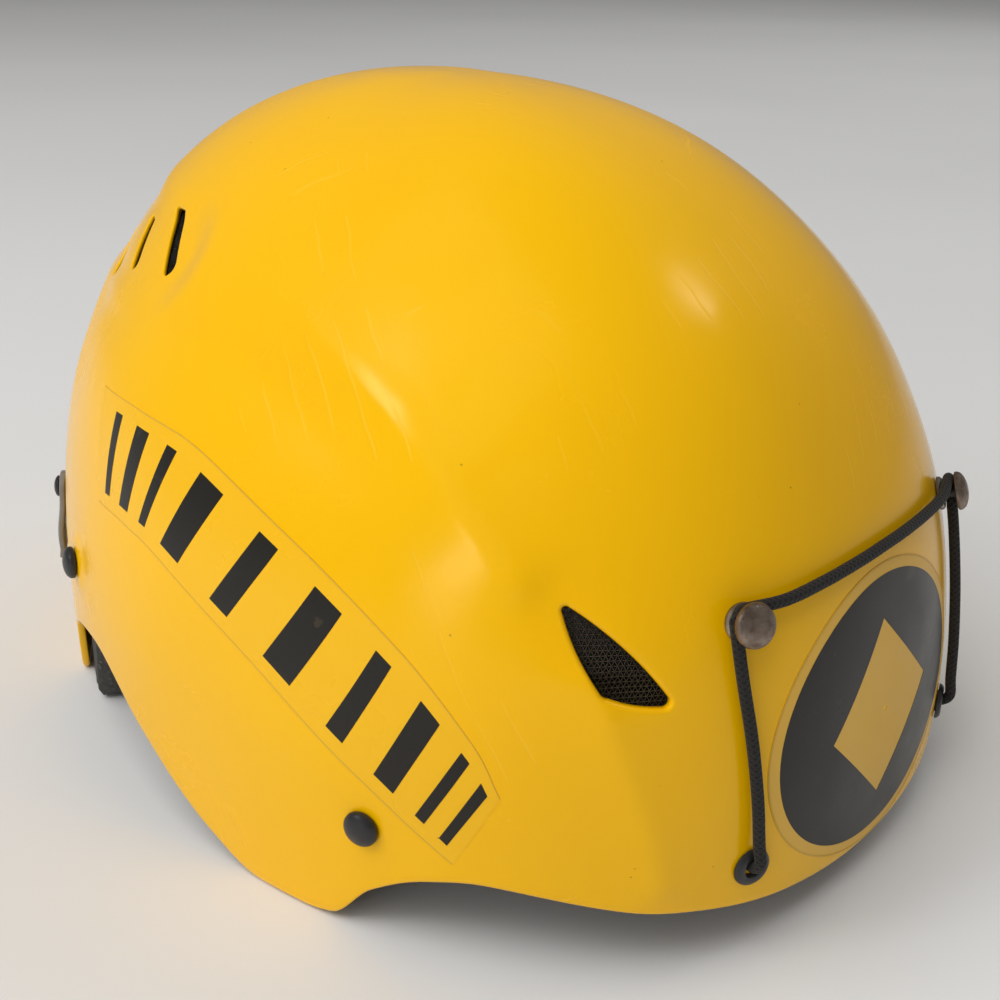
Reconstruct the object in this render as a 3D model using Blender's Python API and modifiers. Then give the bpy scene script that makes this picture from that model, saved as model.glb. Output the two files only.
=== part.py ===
"""Climbing helmet: hard shell, foam liner, lamp cord and clips, headband with size adjuster, chin strap.

The front looks along -Y, +Z is up, and the wearer's right side is -X.
The helmet stands on the floor at Z = 0, on its side lobes and its rear edge. Units are metres.
"""
import bpy
import bmesh
import math
from mathutils import Matrix, Vector

# ---------------------------------------------------------------- driving dimensions
HALF_WIDTH = 0.1065
FRONT_LENGTH = 0.1365
REAR_LENGTH = 0.1385
CROWN_HEIGHT = 0.1765
CENTRE_Y = -0.0010
FRONT_SQUARENESS = 2.6
REAR_SQUARENESS = 1.75
# Height of the widest line, and fullness of the dome above it, at the front, sides and rear.
EQUATOR = (0.023, 0.042, 0.040)
FULLNESS = (2.15, 1.9, 2.3)
# The shell's lower edge: angle from the front, and height.
RIM = [(0, 0.0085), (15, 0.0110), (30, 0.0165), (45, 0.0215), (51, 0.0188), (57, 0.0118),
       (62, 0.0012), (66, 0.0), (73, 0.0), (82, 0.0060), (97, 0.0224), (112, 0.0342),
       (133, 0.0195), (137, 0.0), (180, 0.0)]
# The liner's lower edge stays above the shell's, and fills the rear notch down to the floor.
LINER_RIM = [(0, 0.0115), (15, 0.0140), (30, 0.0195), (45, 0.0245), (51, 0.0218), (57, 0.0150),
             (62, 0.0042), (66, 0.0030), (73, 0.0030), (82, 0.0090), (97, 0.0270), (108, 0.0350),
             (120, 0.0330), (128, 0.0), (180, 0.0)]

GAP = 0.0003
SHELL_WALL = 0.0024
LINER_OUTER = 0.0039
LINER_WALL = 0.0117
LINER_INNER = LINER_OUTER + LINER_WALL

RIVETS = {"front": (57.7, 0.0292), "rear": (119.0, 0.0523)}
RIVET_HEAD_RADIUS = 0.0043
RIVET_SHANK_RADIUS = 0.0022

STUD = (21.0, 0.0812)
EYELET = (19.7, 0.0235)
STUD_BASE_RADIUS = 0.0042
STUD_CAP_RADIUS = 0.0049
STUD_GAP = 0.0036
STUD_POST_RADIUS = 0.0015
CORD_RADIUS = 0.00138
CORD_HOLE_RADIUS = 0.0021

# Side vent corners, as angle from the front and height.
VENT = [(37.9, 0.0868), (34.6, 0.0692), (28.4, 0.0664)]
VENT_CORNER_RADII = (0.0009, 0.0024, 0.0014)
VENT_CORNER_SPREAD = (0.0022, 0.0012, 0.0016)
REAR_SLOTS = [((130.0, 0.1440), (117.0, 0.1310)), ((141.5, 0.1385), (133.5, 0.1265)),
              ((151.5, 0.1320), (145.0, 0.1195))]
REAR_SLOT_WIDTH = 0.0055

LAMP_CLIP = (142.0, 0.0460)
LAMP_CLIP_LENGTH = 0.0270
LAMP_CLIP_WIDTH = 0.0110

# Headband, seen from above: a circle behind the temples and an ellipse in front of them.
BAND_CENTRE_Y = 0.0120
BAND_HEIGHT = 0.0400
TAIL_RADIUS = 0.0780
BAND_THICKNESS = 0.0012
FRONT_BAND_RADIUS = 0.0754
FRONT_BAND_REACH = 0.1270
FRONT_BAND_HALF_HEIGHT = 0.0110
TAIL_HALF_HEIGHT = 0.0090
POST_REACH = 0.0075

PINION_TEETH = 12
PINION_PITCH_RADIUS = 0.0060
TOOTH_PITCH = 2 * math.pi * PINION_PITCH_RADIUS / PINION_TEETH
TOOTH_ADDENDUM = 0.0008
TOOTH_DEDENDUM = 0.0012
KNOB_RADIUS = 0.0135

STRAP_WIDTH = 0.0150
STRAP_THICKNESS = 0.0014
STRAP_HEIGHT = 0.0120


# ---------------------------------------------------------------- scene and materials
def clear_scene():
    for obj in list(bpy.data.objects):
        bpy.data.objects.remove(obj, do_unlink=True)


clear_scene()
PARTS = bpy.data.collections.new("climbing_helmet")
CUTTERS = bpy.data.collections.new("cutters")
bpy.context.scene.collection.children.link(PARTS)
bpy.context.scene.collection.children.link(CUTTERS)


def material(name, colour, roughness, metallic=0.0):
    made = bpy.data.materials.new(name)
    made.use_nodes = True
    made.diffuse_color = (*colour, 1.0)
    shader = made.node_tree.nodes["Principled BSDF"]
    shader.inputs["Base Color"].default_value = (*colour, 1.0)
    shader.inputs["Roughness"].default_value = roughness
    shader.inputs["Metallic"].default_value = metallic
    return made


YELLOW = material("shell_yellow", (0.93, 0.55, 0.02), 0.22)
FOAM = material("foam_dark", (0.05, 0.05, 0.045), 0.85)
MESH_BLACK = material("vent_mesh_black", (0.02, 0.02, 0.02), 0.7)
BLACK = material("moulded_black", (0.02, 0.02, 0.022), 0.4)
GREY = material("clip_grey", (0.32, 0.31, 0.29), 0.45)
PEWTER = material("stud_pewter", (0.25, 0.20, 0.16), 0.3, 1.0)
STEEL = material("steel_zinc", (0.55, 0.55, 0.56), 0.35, 1.0)
CORD = material("cord_black", (0.025, 0.025, 0.025), 0.8)
WEB = material("webbing_black", (0.02, 0.02, 0.022), 0.85)
PAD = material("pad_fabric", (0.04, 0.04, 0.045), 0.95)


# ---------------------------------------------------------------- shapes of the helmet
def curve_value(points, at):
    """Height of a smooth curve through (angle, height) points, which never overshoots them."""
    last = len(points) - 1
    slope = [(points[i + 1][1] - points[i][1]) / (points[i + 1][0] - points[i][0]) for i in range(last)]
    i = max(j for j in range(last) if points[j][0] <= at or j == 0)

    def tangent(k):
        if k in (0, last) or slope[k - 1] * slope[k] <= 0:
            return 0.0
        return 2 * slope[k - 1] * slope[k] / (slope[k - 1] + slope[k])

    span = points[i + 1][0] - points[i][0]
    t = (at - points[i][0]) / span
    start, end = points[i][1], points[i + 1][1]
    rise = (2 * t ** 3 - 3 * t ** 2 + 1) * start + (3 * t ** 2 - 2 * t ** 3) * end
    lean = (t ** 3 - 2 * t ** 2 + t) * tangent(i) + (t ** 3 - t ** 2) * tangent(i + 1)
    return rise + lean * span


def around(angle, values):
    """A value that goes from the front's to the side's to the rear's."""
    front, side, rear = values
    share = math.cos(angle) ** 2
    return side * (1 - share) + (front if math.cos(angle) > 0 else rear) * share


def shell_point(degrees, height, inset=0.0):
    """A point on the shell, or on the same shape that much smaller; degrees run to the right."""
    angle = math.radians(degrees)
    ahead = math.cos(angle) > 0
    length = (FRONT_LENGTH if ahead else REAR_LENGTH) - inset
    power = FRONT_SQUARENESS if ahead else REAR_SQUARENESS
    reach = (abs(math.cos(angle) / length) ** power
             + abs(math.sin(angle) / (HALF_WIDTH - inset)) ** power) ** (-1 / power)
    equator = around(angle, EQUATOR)
    full = around(angle, FULLNESS)
    climb = min(max((height - equator) / (CROWN_HEIGHT - inset - equator), 0.0), 1.0)
    reach *= (1 - climb ** full) ** (1 / full)
    return Vector((-reach * math.sin(angle), CENTRE_Y - reach * math.cos(angle), height))


def shell_frame(degrees, height, lift=0.0, spin=0.0):
    """Matrix standing on the shell: Z outward, Y up, and X level, towards smaller degrees."""
    step = 0.0005
    here = shell_point(degrees, height)
    level = (shell_point(degrees - 0.2, height) - shell_point(degrees + 0.2, height)).normalized()
    upward = (shell_point(degrees, height + step) - shell_point(degrees, height - step)).normalized()
    out = level.cross(upward).normalized()
    if out.dot(here - Vector((0, CENTRE_Y, height - 0.02))) < 0:
        out = -out
    rise = out.cross(level).normalized()
    frame = Matrix((level, rise, out)).transposed().to_4x4()
    frame.translation = here + out * lift
    return frame @ Matrix.Rotation(spin, 4, "Z")


def on_shell(degrees, height, lift):
    return shell_frame(degrees, height, lift).translation


# ---------------------------------------------------------------- tools for shapes
def link(name, mesh, mat, cutter=False):
    obj = bpy.data.objects.new(name, mesh)
    (CUTTERS if cutter else PARTS).objects.link(obj)
    if mat:
        mesh.materials.append(mat)
    if cutter:
        obj.hide_render = True
        obj.display_type = "WIRE"
    return obj


def finish_mesh(name, bm, mat, cutter=False, smooth=True):
    bmesh.ops.recalc_face_normals(bm, faces=bm.faces)
    mesh = bpy.data.meshes.new(name)
    bm.to_mesh(mesh)
    bm.free()
    if smooth:
        mesh.shade_smooth()
        mesh.set_sharp_from_angle(angle=math.radians(35))
    return link(name, mesh, mat, cutter)


def turned(name, profile, frame, mat, steps=16, cutter=False):
    """A profile of (radius, height) points, listed from top to bottom, turned about its Z axis."""
    mesh = bpy.data.meshes.new(name)
    ring = profile[0][0] > 1e-9
    edges = [(i, i + 1) for i in range(len(profile) - 1)]
    if ring:
        edges.append((len(profile) - 1, 0))
    mesh.from_pydata([(r, 0.0, h) for r, h in profile], edges, [])
    obj = link(name, mesh, mat, cutter)
    obj.matrix_world = frame
    screw = obj.modifiers.new("turn", "SCREW")
    screw.steps = steps
    screw.render_steps = steps
    screw.use_merge_vertices = True
    screw.merge_threshold = 0.00001
    screw.use_smooth_shade = True
    return obj


def swept(name, section, columns, place, mat, cutter=False):
    """A closed section of (a, b) corners carried along place(u, a, b), with both ends filled."""
    bm = bmesh.new()
    sides = len(section)
    bmesh.ops.create_grid(bm, x_segments=columns, y_segments=sides, size=0.5)
    for vert in bm.verts:
        corner = section[round((vert.co.y + 0.5) * sides) % sides]
        vert.co = place(vert.co.x + 0.5, *corner)
    bmesh.ops.remove_doubles(bm, verts=bm.verts, dist=1e-6)
    open_edges = [edge for edge in bm.edges if edge.is_boundary]
    bmesh.ops.holes_fill(bm, edges=open_edges, sides=0)
    return finish_mesh(name, bm, mat, cutter)


def solid_sheet(name, columns, rows, place, thickness, mat, cutter=False, mirrored=False):
    """An open grid bent by place(u, v), then made solid inward from its outer face."""
    bm = bmesh.new()
    bmesh.ops.create_grid(bm, x_segments=columns, y_segments=rows, size=0.5)
    for vert in bm.verts:
        vert.co = place(vert.co.x + 0.5, vert.co.y + 0.5)
    bmesh.ops.remove_doubles(bm, verts=bm.verts, dist=1e-6)
    bmesh.ops.recalc_face_normals(bm, faces=bm.faces)
    bm.faces.ensure_lookup_table()
    middle = bm.faces[len(bm.faces) // 2]
    if middle.normal.dot(middle.calc_center_median() - Vector((0, CENTRE_Y, 0.04))) < 0:
        bmesh.ops.reverse_faces(bm, faces=bm.faces)
    mesh = bpy.data.meshes.new(name)
    bm.to_mesh(mesh)
    bm.free()
    mesh.shade_smooth()
    obj = link(name, mesh, mat, cutter)
    if mirrored:
        mirror = obj.modifiers.new("both_sides", "MIRROR")
        mirror.merge_threshold = 0.0001
    thick = obj.modifiers.new("wall", "SOLIDIFY")
    thick.thickness = thickness
    thick.offset = -1.0
    thick.use_even_offset = True
    return obj


def block(name, size, frame, mat, bevel=0.0, cutter=False):
    """A box of the given size about its frame's origin, with rounded edges."""
    bm = bmesh.new()
    bmesh.ops.create_cube(bm, size=1.0)
    bmesh.ops.scale(bm, vec=size, verts=bm.verts)
    obj = finish_mesh(name, bm, mat, cutter, smooth=False)
    obj.matrix_world = frame
    if bevel:
        rounding = obj.modifiers.new("rounding", "BEVEL")
        rounding.width = bevel
        rounding.segments = 2
    return obj


def plate(name, outline, thickness, frame, mat, cutter=False):
    """A flat outline, thickness high about the frame's XY plane."""
    curve = bpy.data.curves.new(name, "CURVE")
    curve.dimensions = "2D"
    curve.fill_mode = "BOTH"
    curve.extrude = thickness / 2
    spline = curve.splines.new("POLY")
    spline.points.add(len(outline) - 1)
    for point, (x, y) in zip(spline.points, outline):
        point.co = (x, y, 0.0, 1.0)
    spline.use_cyclic_u = True
    obj = link(name, curve, mat, cutter)
    obj.matrix_world = frame
    return as_mesh(obj, cutter)


def as_mesh(obj, cutter=False):
    """The same object as a mesh with its caps welded on, so that Booleans can use it."""
    bpy.context.view_layer.update()
    shape = obj.evaluated_get(bpy.context.evaluated_depsgraph_get())
    mesh = bpy.data.meshes.new_from_object(shape)
    bm = bmesh.new()
    bm.from_mesh(mesh)
    bmesh.ops.remove_doubles(bm, verts=bm.verts, dist=1e-6)
    bmesh.ops.recalc_face_normals(bm, faces=bm.faces)
    bm.to_mesh(mesh)
    bm.free()
    name, place = obj.name, obj.matrix_world.copy()
    bpy.data.objects.remove(obj, do_unlink=True)
    made = link(name, mesh, None, cutter)
    made.matrix_world = place
    return made


def cut(target, *cutters):
    for cutter in cutters:
        step = target.modifiers.new("cut_" + cutter.name, "BOOLEAN")
        step.operation = "DIFFERENCE"
        step.solver = "EXACT"
        step.object = cutter


def drill(name, frame, radius, depth_in, depth_out=0.004, steps=16):
    """A cutter for a round hole along the frame's Z axis."""
    profile = [(0, depth_out), (radius, depth_out), (radius, -depth_in), (0, -depth_in)]
    return turned(name, profile, frame, None, steps, cutter=True)


def smooth_path(points, count):
    """Count points along a Catmull-Rom curve through the given ones."""
    route = [Vector(p) for p in points]
    route = [2 * route[0] - route[1]] + route + [2 * route[-1] - route[-2]]
    found = []
    for k in range(count):
        at = k / (count - 1) * (len(route) - 3)
        i = min(int(at), len(route) - 4)
        t = at - i
        a, b, c, d = route[i:i + 4]
        found.append(0.5 * (2 * b + (c - a) * t + (2 * a - 5 * b + 4 * c - d) * t * t
                            + (3 * b - a - 3 * c + d) * t ** 3))
    return found


def tube(name, points, radius, mat):
    """A round cord through the points, with its ends filled."""
    curve = bpy.data.curves.new(name, "CURVE")
    curve.dimensions = "3D"
    curve.bevel_depth = radius
    curve.bevel_resolution = 2
    curve.use_fill_caps = True
    spline = curve.splines.new("POLY")
    spline.points.add(len(points) - 1)
    for point, place in zip(spline.points, points):
        point.co = (*place, 1.0)
    return link(name, curve, mat)


def webbing(name, route, columns, mat=None):
    """Flat webbing on its edge; route lists (point, outward normal) pairs."""
    path = smooth_path([p for p, n in route], columns + 1)
    facing = smooth_path([n for p, n in route], columns + 1)
    section = [(-0.5, -0.5), (0.5, -0.5), (0.5, 0.5), (-0.5, 0.5)]

    def place(u, a, b):
        k = round(u * columns)
        run = path[min(k + 1, columns)] - path[max(k - 1, 0)]
        side = facing[k].cross(run).normalized()
        out = run.cross(side).normalized()
        return path[k] + out * a * STRAP_THICKNESS + side * b * STRAP_WIDTH

    return swept(name, section, columns, place, mat or WEB)


def mirrored_frame(frame):
    """The same place on the other side of the helmet, with a right-handed frame."""
    flip = Matrix.Diagonal((-1, 1, 1, 1))
    return flip @ frame @ flip


SIDES = (("right", 1), ("left", -1))


def sided(point, side):
    """A point given for the right side, moved to the side asked for."""
    return Vector((point[0] * side, point[1], point[2]))


# ---------------------------------------------------------------- shell, liner and vents
def station_list(rim, step):
    corners = {at for at, height in rim}
    filled = {k * step for k in range(int(180 / step) + 1)}
    near = {at for at in filled if all(abs(at - corner) >= step * 0.4 for corner in corners)}
    return sorted(corners | near)


def dome(name, rim, inset, thickness, step, rows, mat):
    stations = station_list(rim, step)

    def place(u, v):
        degrees = stations[round(u * (len(stations) - 1))]
        low = curve_value(rim, degrees)
        top = CROWN_HEIGHT - inset
        return shell_point(degrees, low + (top - low) * math.sin(v * math.pi / 2), inset)

    return solid_sheet(name, len(stations) - 1, rows, place, thickness, mat, mirrored=True)


def rounded_corners(corners, radii, steps=4):
    """The outline of a polygon with round corners, anticlockwise."""
    outline = []
    for k, (corner, radius) in enumerate(zip(corners, radii)):
        back = (Vector(corners[k - 1]) - Vector(corner)).normalized()
        ahead = (Vector(corners[(k + 1) % len(corners)]) - Vector(corner)).normalized()
        half = back.angle(ahead) / 2
        centre = Vector(corner) + (back + ahead).normalized() * radius / math.sin(half)
        first = Vector(corner) + back * radius / math.tan(half) - centre
        last = Vector(corner) + ahead * radius / math.tan(half) - centre
        turn = first.angle_signed(last)
        for j in range(steps + 1):
            arm = first.copy()
            arm.rotate(Matrix.Rotation(-turn * j / steps, 2))
            outline.append(tuple(centre + arm))
    return outline


def vent_frame():
    middle = sum(at for at, height in VENT) / 3
    return shell_frame(middle, sum(height for at, height in VENT) / 3)


def vent_cutter(name, grow, deep, side):
    frame = vent_frame()
    inverse = frame.inverted()
    flat = [inverse @ shell_point(at, height) for at, height in VENT]
    centre = sum((Vector((p.x, p.y)) for p in flat), Vector((0, 0))) / 3
    corners = []
    for p, spread in zip(flat, VENT_CORNER_SPREAD):
        arm = Vector((p.x, p.y)) - centre
        corners.append(tuple(centre + arm.normalized() * (arm.length + grow + spread)))
    outline = rounded_corners(corners, [radius + grow / 3 for radius in VENT_CORNER_RADII])
    if side < 0:
        frame = mirrored_frame(frame)
        outline = [(-x, y) for x, y in reversed(outline)]
    low = 0.006
    return plate(name, outline, deep + low, frame @ Matrix.Translation((0, 0, (low - deep) / 2)), None, True)


def slot_cutter(name, ends, width, deep, side):
    upper, lower = (shell_point(*end) for end in ends)
    at = (ends[0][0] + ends[1][0]) / 2
    frame = shell_frame(at, (ends[0][1] + ends[1][1]) / 2)
    out = frame.to_3x3().col[2]
    along = (lower - upper).normalized()
    across = out.cross(along).normalized()
    out = along.cross(across).normalized()
    frame = Matrix((along, across, out)).transposed().to_4x4()
    frame.translation = (upper + lower) / 2
    half = (lower - upper).length / 2 - width / 2
    arc = [math.radians(90 - 22.5 * k) for k in range(9)]
    outline = [(half + width / 2 * math.cos(a), width / 2 * math.sin(a)) for a in arc]
    outline += [(-x, -y) for x, y in outline]
    outline.reverse()
    if side < 0:
        frame = mirrored_frame(frame)
        outline = [(-x, y) for x, y in reversed(outline)]
    return plate(name, outline, deep * 2, frame, None, True)


def build_shell_and_liner():
    shell = dome("outer_shell", RIM, 0.0, SHELL_WALL, 7.5, 9, YELLOW)
    liner = dome("foam_liner", LINER_RIM, LINER_OUTER, LINER_WALL, 10.0, 8, FOAM)
    for word, side in SIDES:
        cut(shell, vent_cutter("shell_vent_" + word, 0.0, 0.008, side))
        cut(liner, vent_cutter("liner_vent_" + word, 0.0005, 0.030, side))
        for k, ends in enumerate(REAR_SLOTS):
            cut(shell, slot_cutter(f"shell_slot_{word}_{k}", ends, REAR_SLOT_WIDTH, 0.008, side))
            cut(liner, slot_cutter(f"liner_slot_{word}_{k}", ends, REAR_SLOT_WIDTH + 0.001, 0.030, side))

        def pocket(u, v, word=word, side=side):
            point = shell_point(24.0 + 18.0 * u, 0.0610 + 0.0310 * v, 0.0035)
            return sided(point, side)

        recess = solid_sheet("mesh_pocket_" + word, 6, 5, pocket, 0.0021, None, cutter=True)
        cut(liner, recess)

        def backing(u, v, side=side):
            return sided(shell_point(24.8 + 16.4 * u, 0.0624 + 0.0282 * v, 0.0037), side)

        solid_sheet("vent_mesh_" + word, 6, 5, backing, 0.0008, MESH_BLACK)
        for at, height in RIVETS.values():
            frame = shell_frame(side * at, height)
            cut(shell, drill(f"shell_rivet_hole_{word}_{at:.0f}", frame, RIVET_SHANK_RADIUS + GAP, 0.010))
            cut(liner, drill(f"liner_rivet_hole_{word}_{at:.0f}", frame, RIVET_SHANK_RADIUS + GAP, 0.030))
        stud = shell_frame(side * STUD[0], STUD[1])
        cut(shell, drill("shell_stud_hole_" + word, stud, STUD_POST_RADIUS + GAP, 0.008))
        cut(liner, drill("liner_stud_pocket_" + word, stud, 0.0045, 0.0064))
        eyelet = shell_frame(side * EYELET[0], EYELET[1])
        cut(shell, drill("shell_eyelet_hole_" + word, eyelet, 0.0032, 0.008))
        cut(liner, drill("liner_knot_pocket_" + word, eyelet, 0.0046, 0.0125))
        clip = shell_frame(side * LAMP_CLIP[0], LAMP_CLIP[1] + LAMP_CLIP_LENGTH / 2 - 0.004)
        cut(shell, drill("shell_clip_hole_" + word, clip, 0.0019, 0.008))
        cut(liner, drill("liner_clip_pocket_" + word, clip, 0.0040, 0.0062))
        temple = Matrix.Translation(sided((-0.095, BAND_CENTRE_Y, BAND_HEIGHT), side))
        temple = temple @ Matrix.Rotation(math.radians(90), 4, "Y")
        cut(liner, drill("liner_temple_bore_" + word, temple, 0.0020 + GAP, 0.020, 0.020))
        cut(liner, drill("liner_front_bore_" + word, front_post_frame(side), 0.0025 + GAP, 0.009, 0.030))


def build_harness_rivets():
    head = RIVET_HEAD_RADIUS
    shank = RIVET_SHANK_RADIUS
    end = LINER_INNER + 0.0048
    for word, side in SIDES:
        for place, (at, height) in RIVETS.items():
            frame = shell_frame(side * at, height)
            profile = [(0, 0.0031), (head * 0.45, 0.0029), (head * 0.8, 0.0021), (head, 0.0010),
                       (head, GAP), (shank, GAP), (shank, -end), (0, -end)]
            turned(f"harness_rivet_{place}_{word}", profile, frame, BLACK)
            inner = LINER_INNER + 0.0031
            ring = [(0.0058, -inner), (0.0058, -inner - 0.0008), (shank + GAP, -inner - 0.0008),
                    (shank + GAP, -inner)]
            turned(f"rivet_washer_{place}_{word}", ring, frame, STEEL)


# ---------------------------------------------------------------- lamp cord, studs and clips
def cord_route():
    """Half of the cord's way, from behind the right eyelet to the middle of the brow."""
    eyelet = shell_frame(*EYELET)
    stud = shell_frame(*STUD)
    lift = 0.0009 + GAP + STUD_GAP / 2
    wrap = STUD_POST_RADIUS + CORD_RADIUS + 0.0004
    inside = [eyelet @ Vector((0, 0, -0.0040)), eyelet @ Vector((0, 0, -0.0010)),
              eyelet @ Vector((0, 0.0005, 0.0014)), eyelet @ Vector((0, 0.0026, 0.0032))]
    rise = [on_shell(EYELET[0] + 0.2, 0.0310, 0.0027), on_shell(EYELET[0] + 0.6, 0.0420, 0.0024),
            on_shell(EYELET[0] + 1.3, 0.0560, 0.0023), on_shell(EYELET[0] + 2.2, 0.0700, 0.0025)]
    turn = [stud @ Vector((wrap * math.cos(a), wrap * math.sin(a), lift))
            for a in (math.radians(d) for d in (188, 158, 128, 100))]
    across = [on_shell(16.5, 0.0838, 0.0027), on_shell(11.0, 0.0842, 0.0021),
              on_shell(5.0, 0.0845, 0.0020), on_shell(0.0, 0.0846, 0.0020)]
    return inside + rise + turn + across


def build_lamp_cord():
    half = cord_route()
    other = [sided(p, -1) for p in reversed(half[:-1])]
    tube("elastic_cord", smooth_path(half + other, 54), CORD_RADIUS, CORD)
    for word, side in SIDES:
        eyelet = shell_frame(side * EYELET[0], EYELET[1])
        hole = CORD_HOLE_RADIUS
        ring = [(0.0034, 0.0014), (0.0046, 0.0009), (0.0047, GAP), (0.0029, GAP), (0.0029, -0.0029),
                (hole, -0.0029), (hole, 0.0009)]
        turned("cord_eyelet_" + word, ring, eyelet, BLACK, steps=20)
        stud = shell_frame(side * STUD[0], STUD[1])
        base = STUD_BASE_RADIUS
        post = STUD_POST_RADIUS
        top = 0.0012 + STUD_GAP
        profile = [(0, top), (post, top), (post, 0.0013), (base * 0.85, 0.0013), (base, 0.0010),
                   (base, 0.0005), (post, 0.0005), (post, -0.0036), (0.0034, -0.0036), (0.0034, -0.0046), (0, -0.0046)]
        turned("stud_base_" + word, profile, stud, BLACK)
        cap = STUD_CAP_RADIUS
        lid = [(0, top + 0.0026), (cap * 0.5, top + 0.0023), (cap * 0.85, top + 0.0014), (cap, top + 0.0004),
               (cap * 0.92, top - 0.0003), (cap * 0.6, top + GAP), (0, top + GAP)]
        turned("stud_cap_" + word, lid, stud, PEWTER)
        knot = [(0, -0.0048), (0.0024, -0.0054), (0.0034, -0.0074), (0.0024, -0.0094), (0, -0.0100)]
        turned("cord_knot_" + word, knot, eyelet, CORD, steps=12)


def build_lamp_clips():
    half = LAMP_CLIP_LENGTH / 2
    rivet_drop = 0.004
    for word, side in SIDES:
        frame = shell_frame(side * LAMP_CLIP[0], LAMP_CLIP[1] + half - rivet_drop)
        section = [(-0.5, 0), (0.5, 0), (0.5, 1), (-0.5, 1)]

        def place(u, a, b, frame=frame):
            down = rivet_drop - u * LAMP_CLIP_LENGTH
            bow = 0.0004 + 0.0014 * math.sin(math.pi * min(max(u * 1.15 - 0.25, 0), 1)) ** 2
            flick = 0.0012 * max(u - 0.85, 0) / 0.15
            width = LAMP_CLIP_WIDTH * (1 - 0.35 * u ** 3)
            return Vector((a * width, down, bow + flick + 0.0016 * b))

        clip = swept("lamp_clip_" + word, section, 12, place, GREY)
        clip.matrix_world = frame
        cut(clip, drill("clip_hole_" + word, frame, 0.0016 + GAP, 0.004, 0.006))
        profile = [(0, 0.0038), (0.0020, 0.0036), (0.0031, 0.0025), (0.0031, 0.0023), (0.0016, 0.0023),
                   (0.0016, -0.0036), (0.0030, -0.0036), (0.0030, -0.0045), (0, -0.0045)]
        turned("lamp_clip_rivet_" + word, profile, frame, BLACK)


# ---------------------------------------------------------------- headband and adjuster
def band_point(degrees, radius, height):
    """On the headband, seen from above: 0 degrees is the rear, 90 the right temple, 180 the front."""
    angle = math.radians(degrees)
    x = -radius * math.sin(angle)
    y = radius * math.cos(angle)
    if math.cos(angle) < 0:
        y *= FRONT_BAND_REACH / FRONT_BAND_RADIUS
    return Vector((x, BAND_CENTRE_Y + y, BAND_HEIGHT + height))


def band(name, start, end, columns, inner, outer, half_height, mat):
    """A strip bent round the headband's path between two angles."""
    section = [(inner, -1), (outer, -1), (outer, 1), (inner, 1)]

    def place(u, a, b):
        return band_point(start + (end - start) * u, a, b * half_height)

    return swept(name, section, columns, place, mat)


def soft_band(name, start, end, columns, inner, outer, half_height, mat):
    """A pad bent round the headband's path, thinner at its edges and ends."""
    corners = [(0, -1), (0.45, -0.8), (1, -0.9), (1, 0.9), (0.45, 0.8), (0, 1)]
    section = [(-x, y) for x, y in corners]

    def place(u, a, b):
        taper = 0.45 + 0.55 * min(1, 6 * min(u, 1 - u) + 0.2)
        depth = (outer - inner) * -a * 1.0
        radius = outer - (outer - inner) * (1 + a) * taper if a > -1 else outer
        return band_point(start + (end - start) * u, radius, b * half_height * (0.8 + 0.2 * taper))

    return swept(name, section, columns, place, mat)


def front_post_frame(side):
    at = 180 - 24
    here = band_point(at, FRONT_BAND_RADIUS, 0)
    run = band_point(at + 0.5, FRONT_BAND_RADIUS, 0) - band_point(at - 0.5, FRONT_BAND_RADIUS, 0)
    out = run.cross(Vector((0, 0, -1))).normalized()
    if out.y > 0:
        out = -out
    level = Vector((0, 0, 1)).cross(out)
    frame = Matrix((level, Vector((0, 0, 1)), out)).transposed().to_4x4()
    frame.translation = here + out * POST_REACH
    return frame if side > 0 else mirrored_frame(frame)


def tail_stations():
    """Angles along the right tail and its lower edge there: plain strip, then the toothed tongue."""
    deg = math.degrees(1 / TAIL_RADIUS)
    shoulder, tip = 0.0405, -0.0185
    rows = [(94.0 - 6.0 * k, -TAIL_HALF_HEIGHT) for k in range(11)]
    low = PINION_PITCH_RADIUS + TOOTH_DEDENDUM
    high = PINION_PITCH_RADIUS - TOOTH_ADDENDUM
    rows += [(shoulder * deg, -TAIL_HALF_HEIGHT), ((shoulder - 0.0006) * deg, low)]
    rows += [(arc * deg, low) for arc in (0.0350, 0.0290, 0.0230, 0.0180)]
    first = int(0.0130 / TOOTH_PITCH)
    last = int(tip / TOOTH_PITCH) - 1
    for k in range(first, last, -1):
        base = k * TOOTH_PITCH
        for share, edge in ((0.74, low), (0.60, high), (0.40, high), (0.26, low)):
            arc = base + share * TOOTH_PITCH
            if arc > tip + 0.0012:
                rows.append((arc * deg, edge))
    rows.append((tip * deg, low))
    return rows


def build_tails():
    """Two toothed tails: the right one passes above the pinion and the left one below it."""
    rows = tail_stations()
    inner = TAIL_RADIUS - BAND_THICKNESS / 2
    outer = TAIL_RADIUS + BAND_THICKNESS / 2
    section = [(inner, 0), (outer, 0), (outer, 1), (inner, 1)]
    for word, side in SIDES:

        def place(u, a, b, side=side):
            degrees, low = rows[round(u * (len(rows) - 1))]
            height = low + (TAIL_HALF_HEIGHT - low) * b
            if side > 0:
                return band_point(degrees, a, height)
            return band_point(-degrees, a, -height)

        tail = swept("band_tail_" + word, section, len(rows) - 1, place, BLACK)
        hole = Matrix.Translation(sided((-TAIL_RADIUS, BAND_CENTRE_Y, BAND_HEIGHT), side))
        hole = hole @ Matrix.Rotation(math.radians(90), 4, "Y")
        cut(tail, drill("tail_hole_" + word, hole, 0.0031, 0.004))


def knob_frame(distance):
    """On the knob's axis, Z pointing to the rear, at a distance from the headband's centre."""
    frame = Matrix.Rotation(math.radians(-90), 4, "X")
    frame.translation = (0, BAND_CENTRE_Y + distance, BAND_HEIGHT)
    return frame


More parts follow.
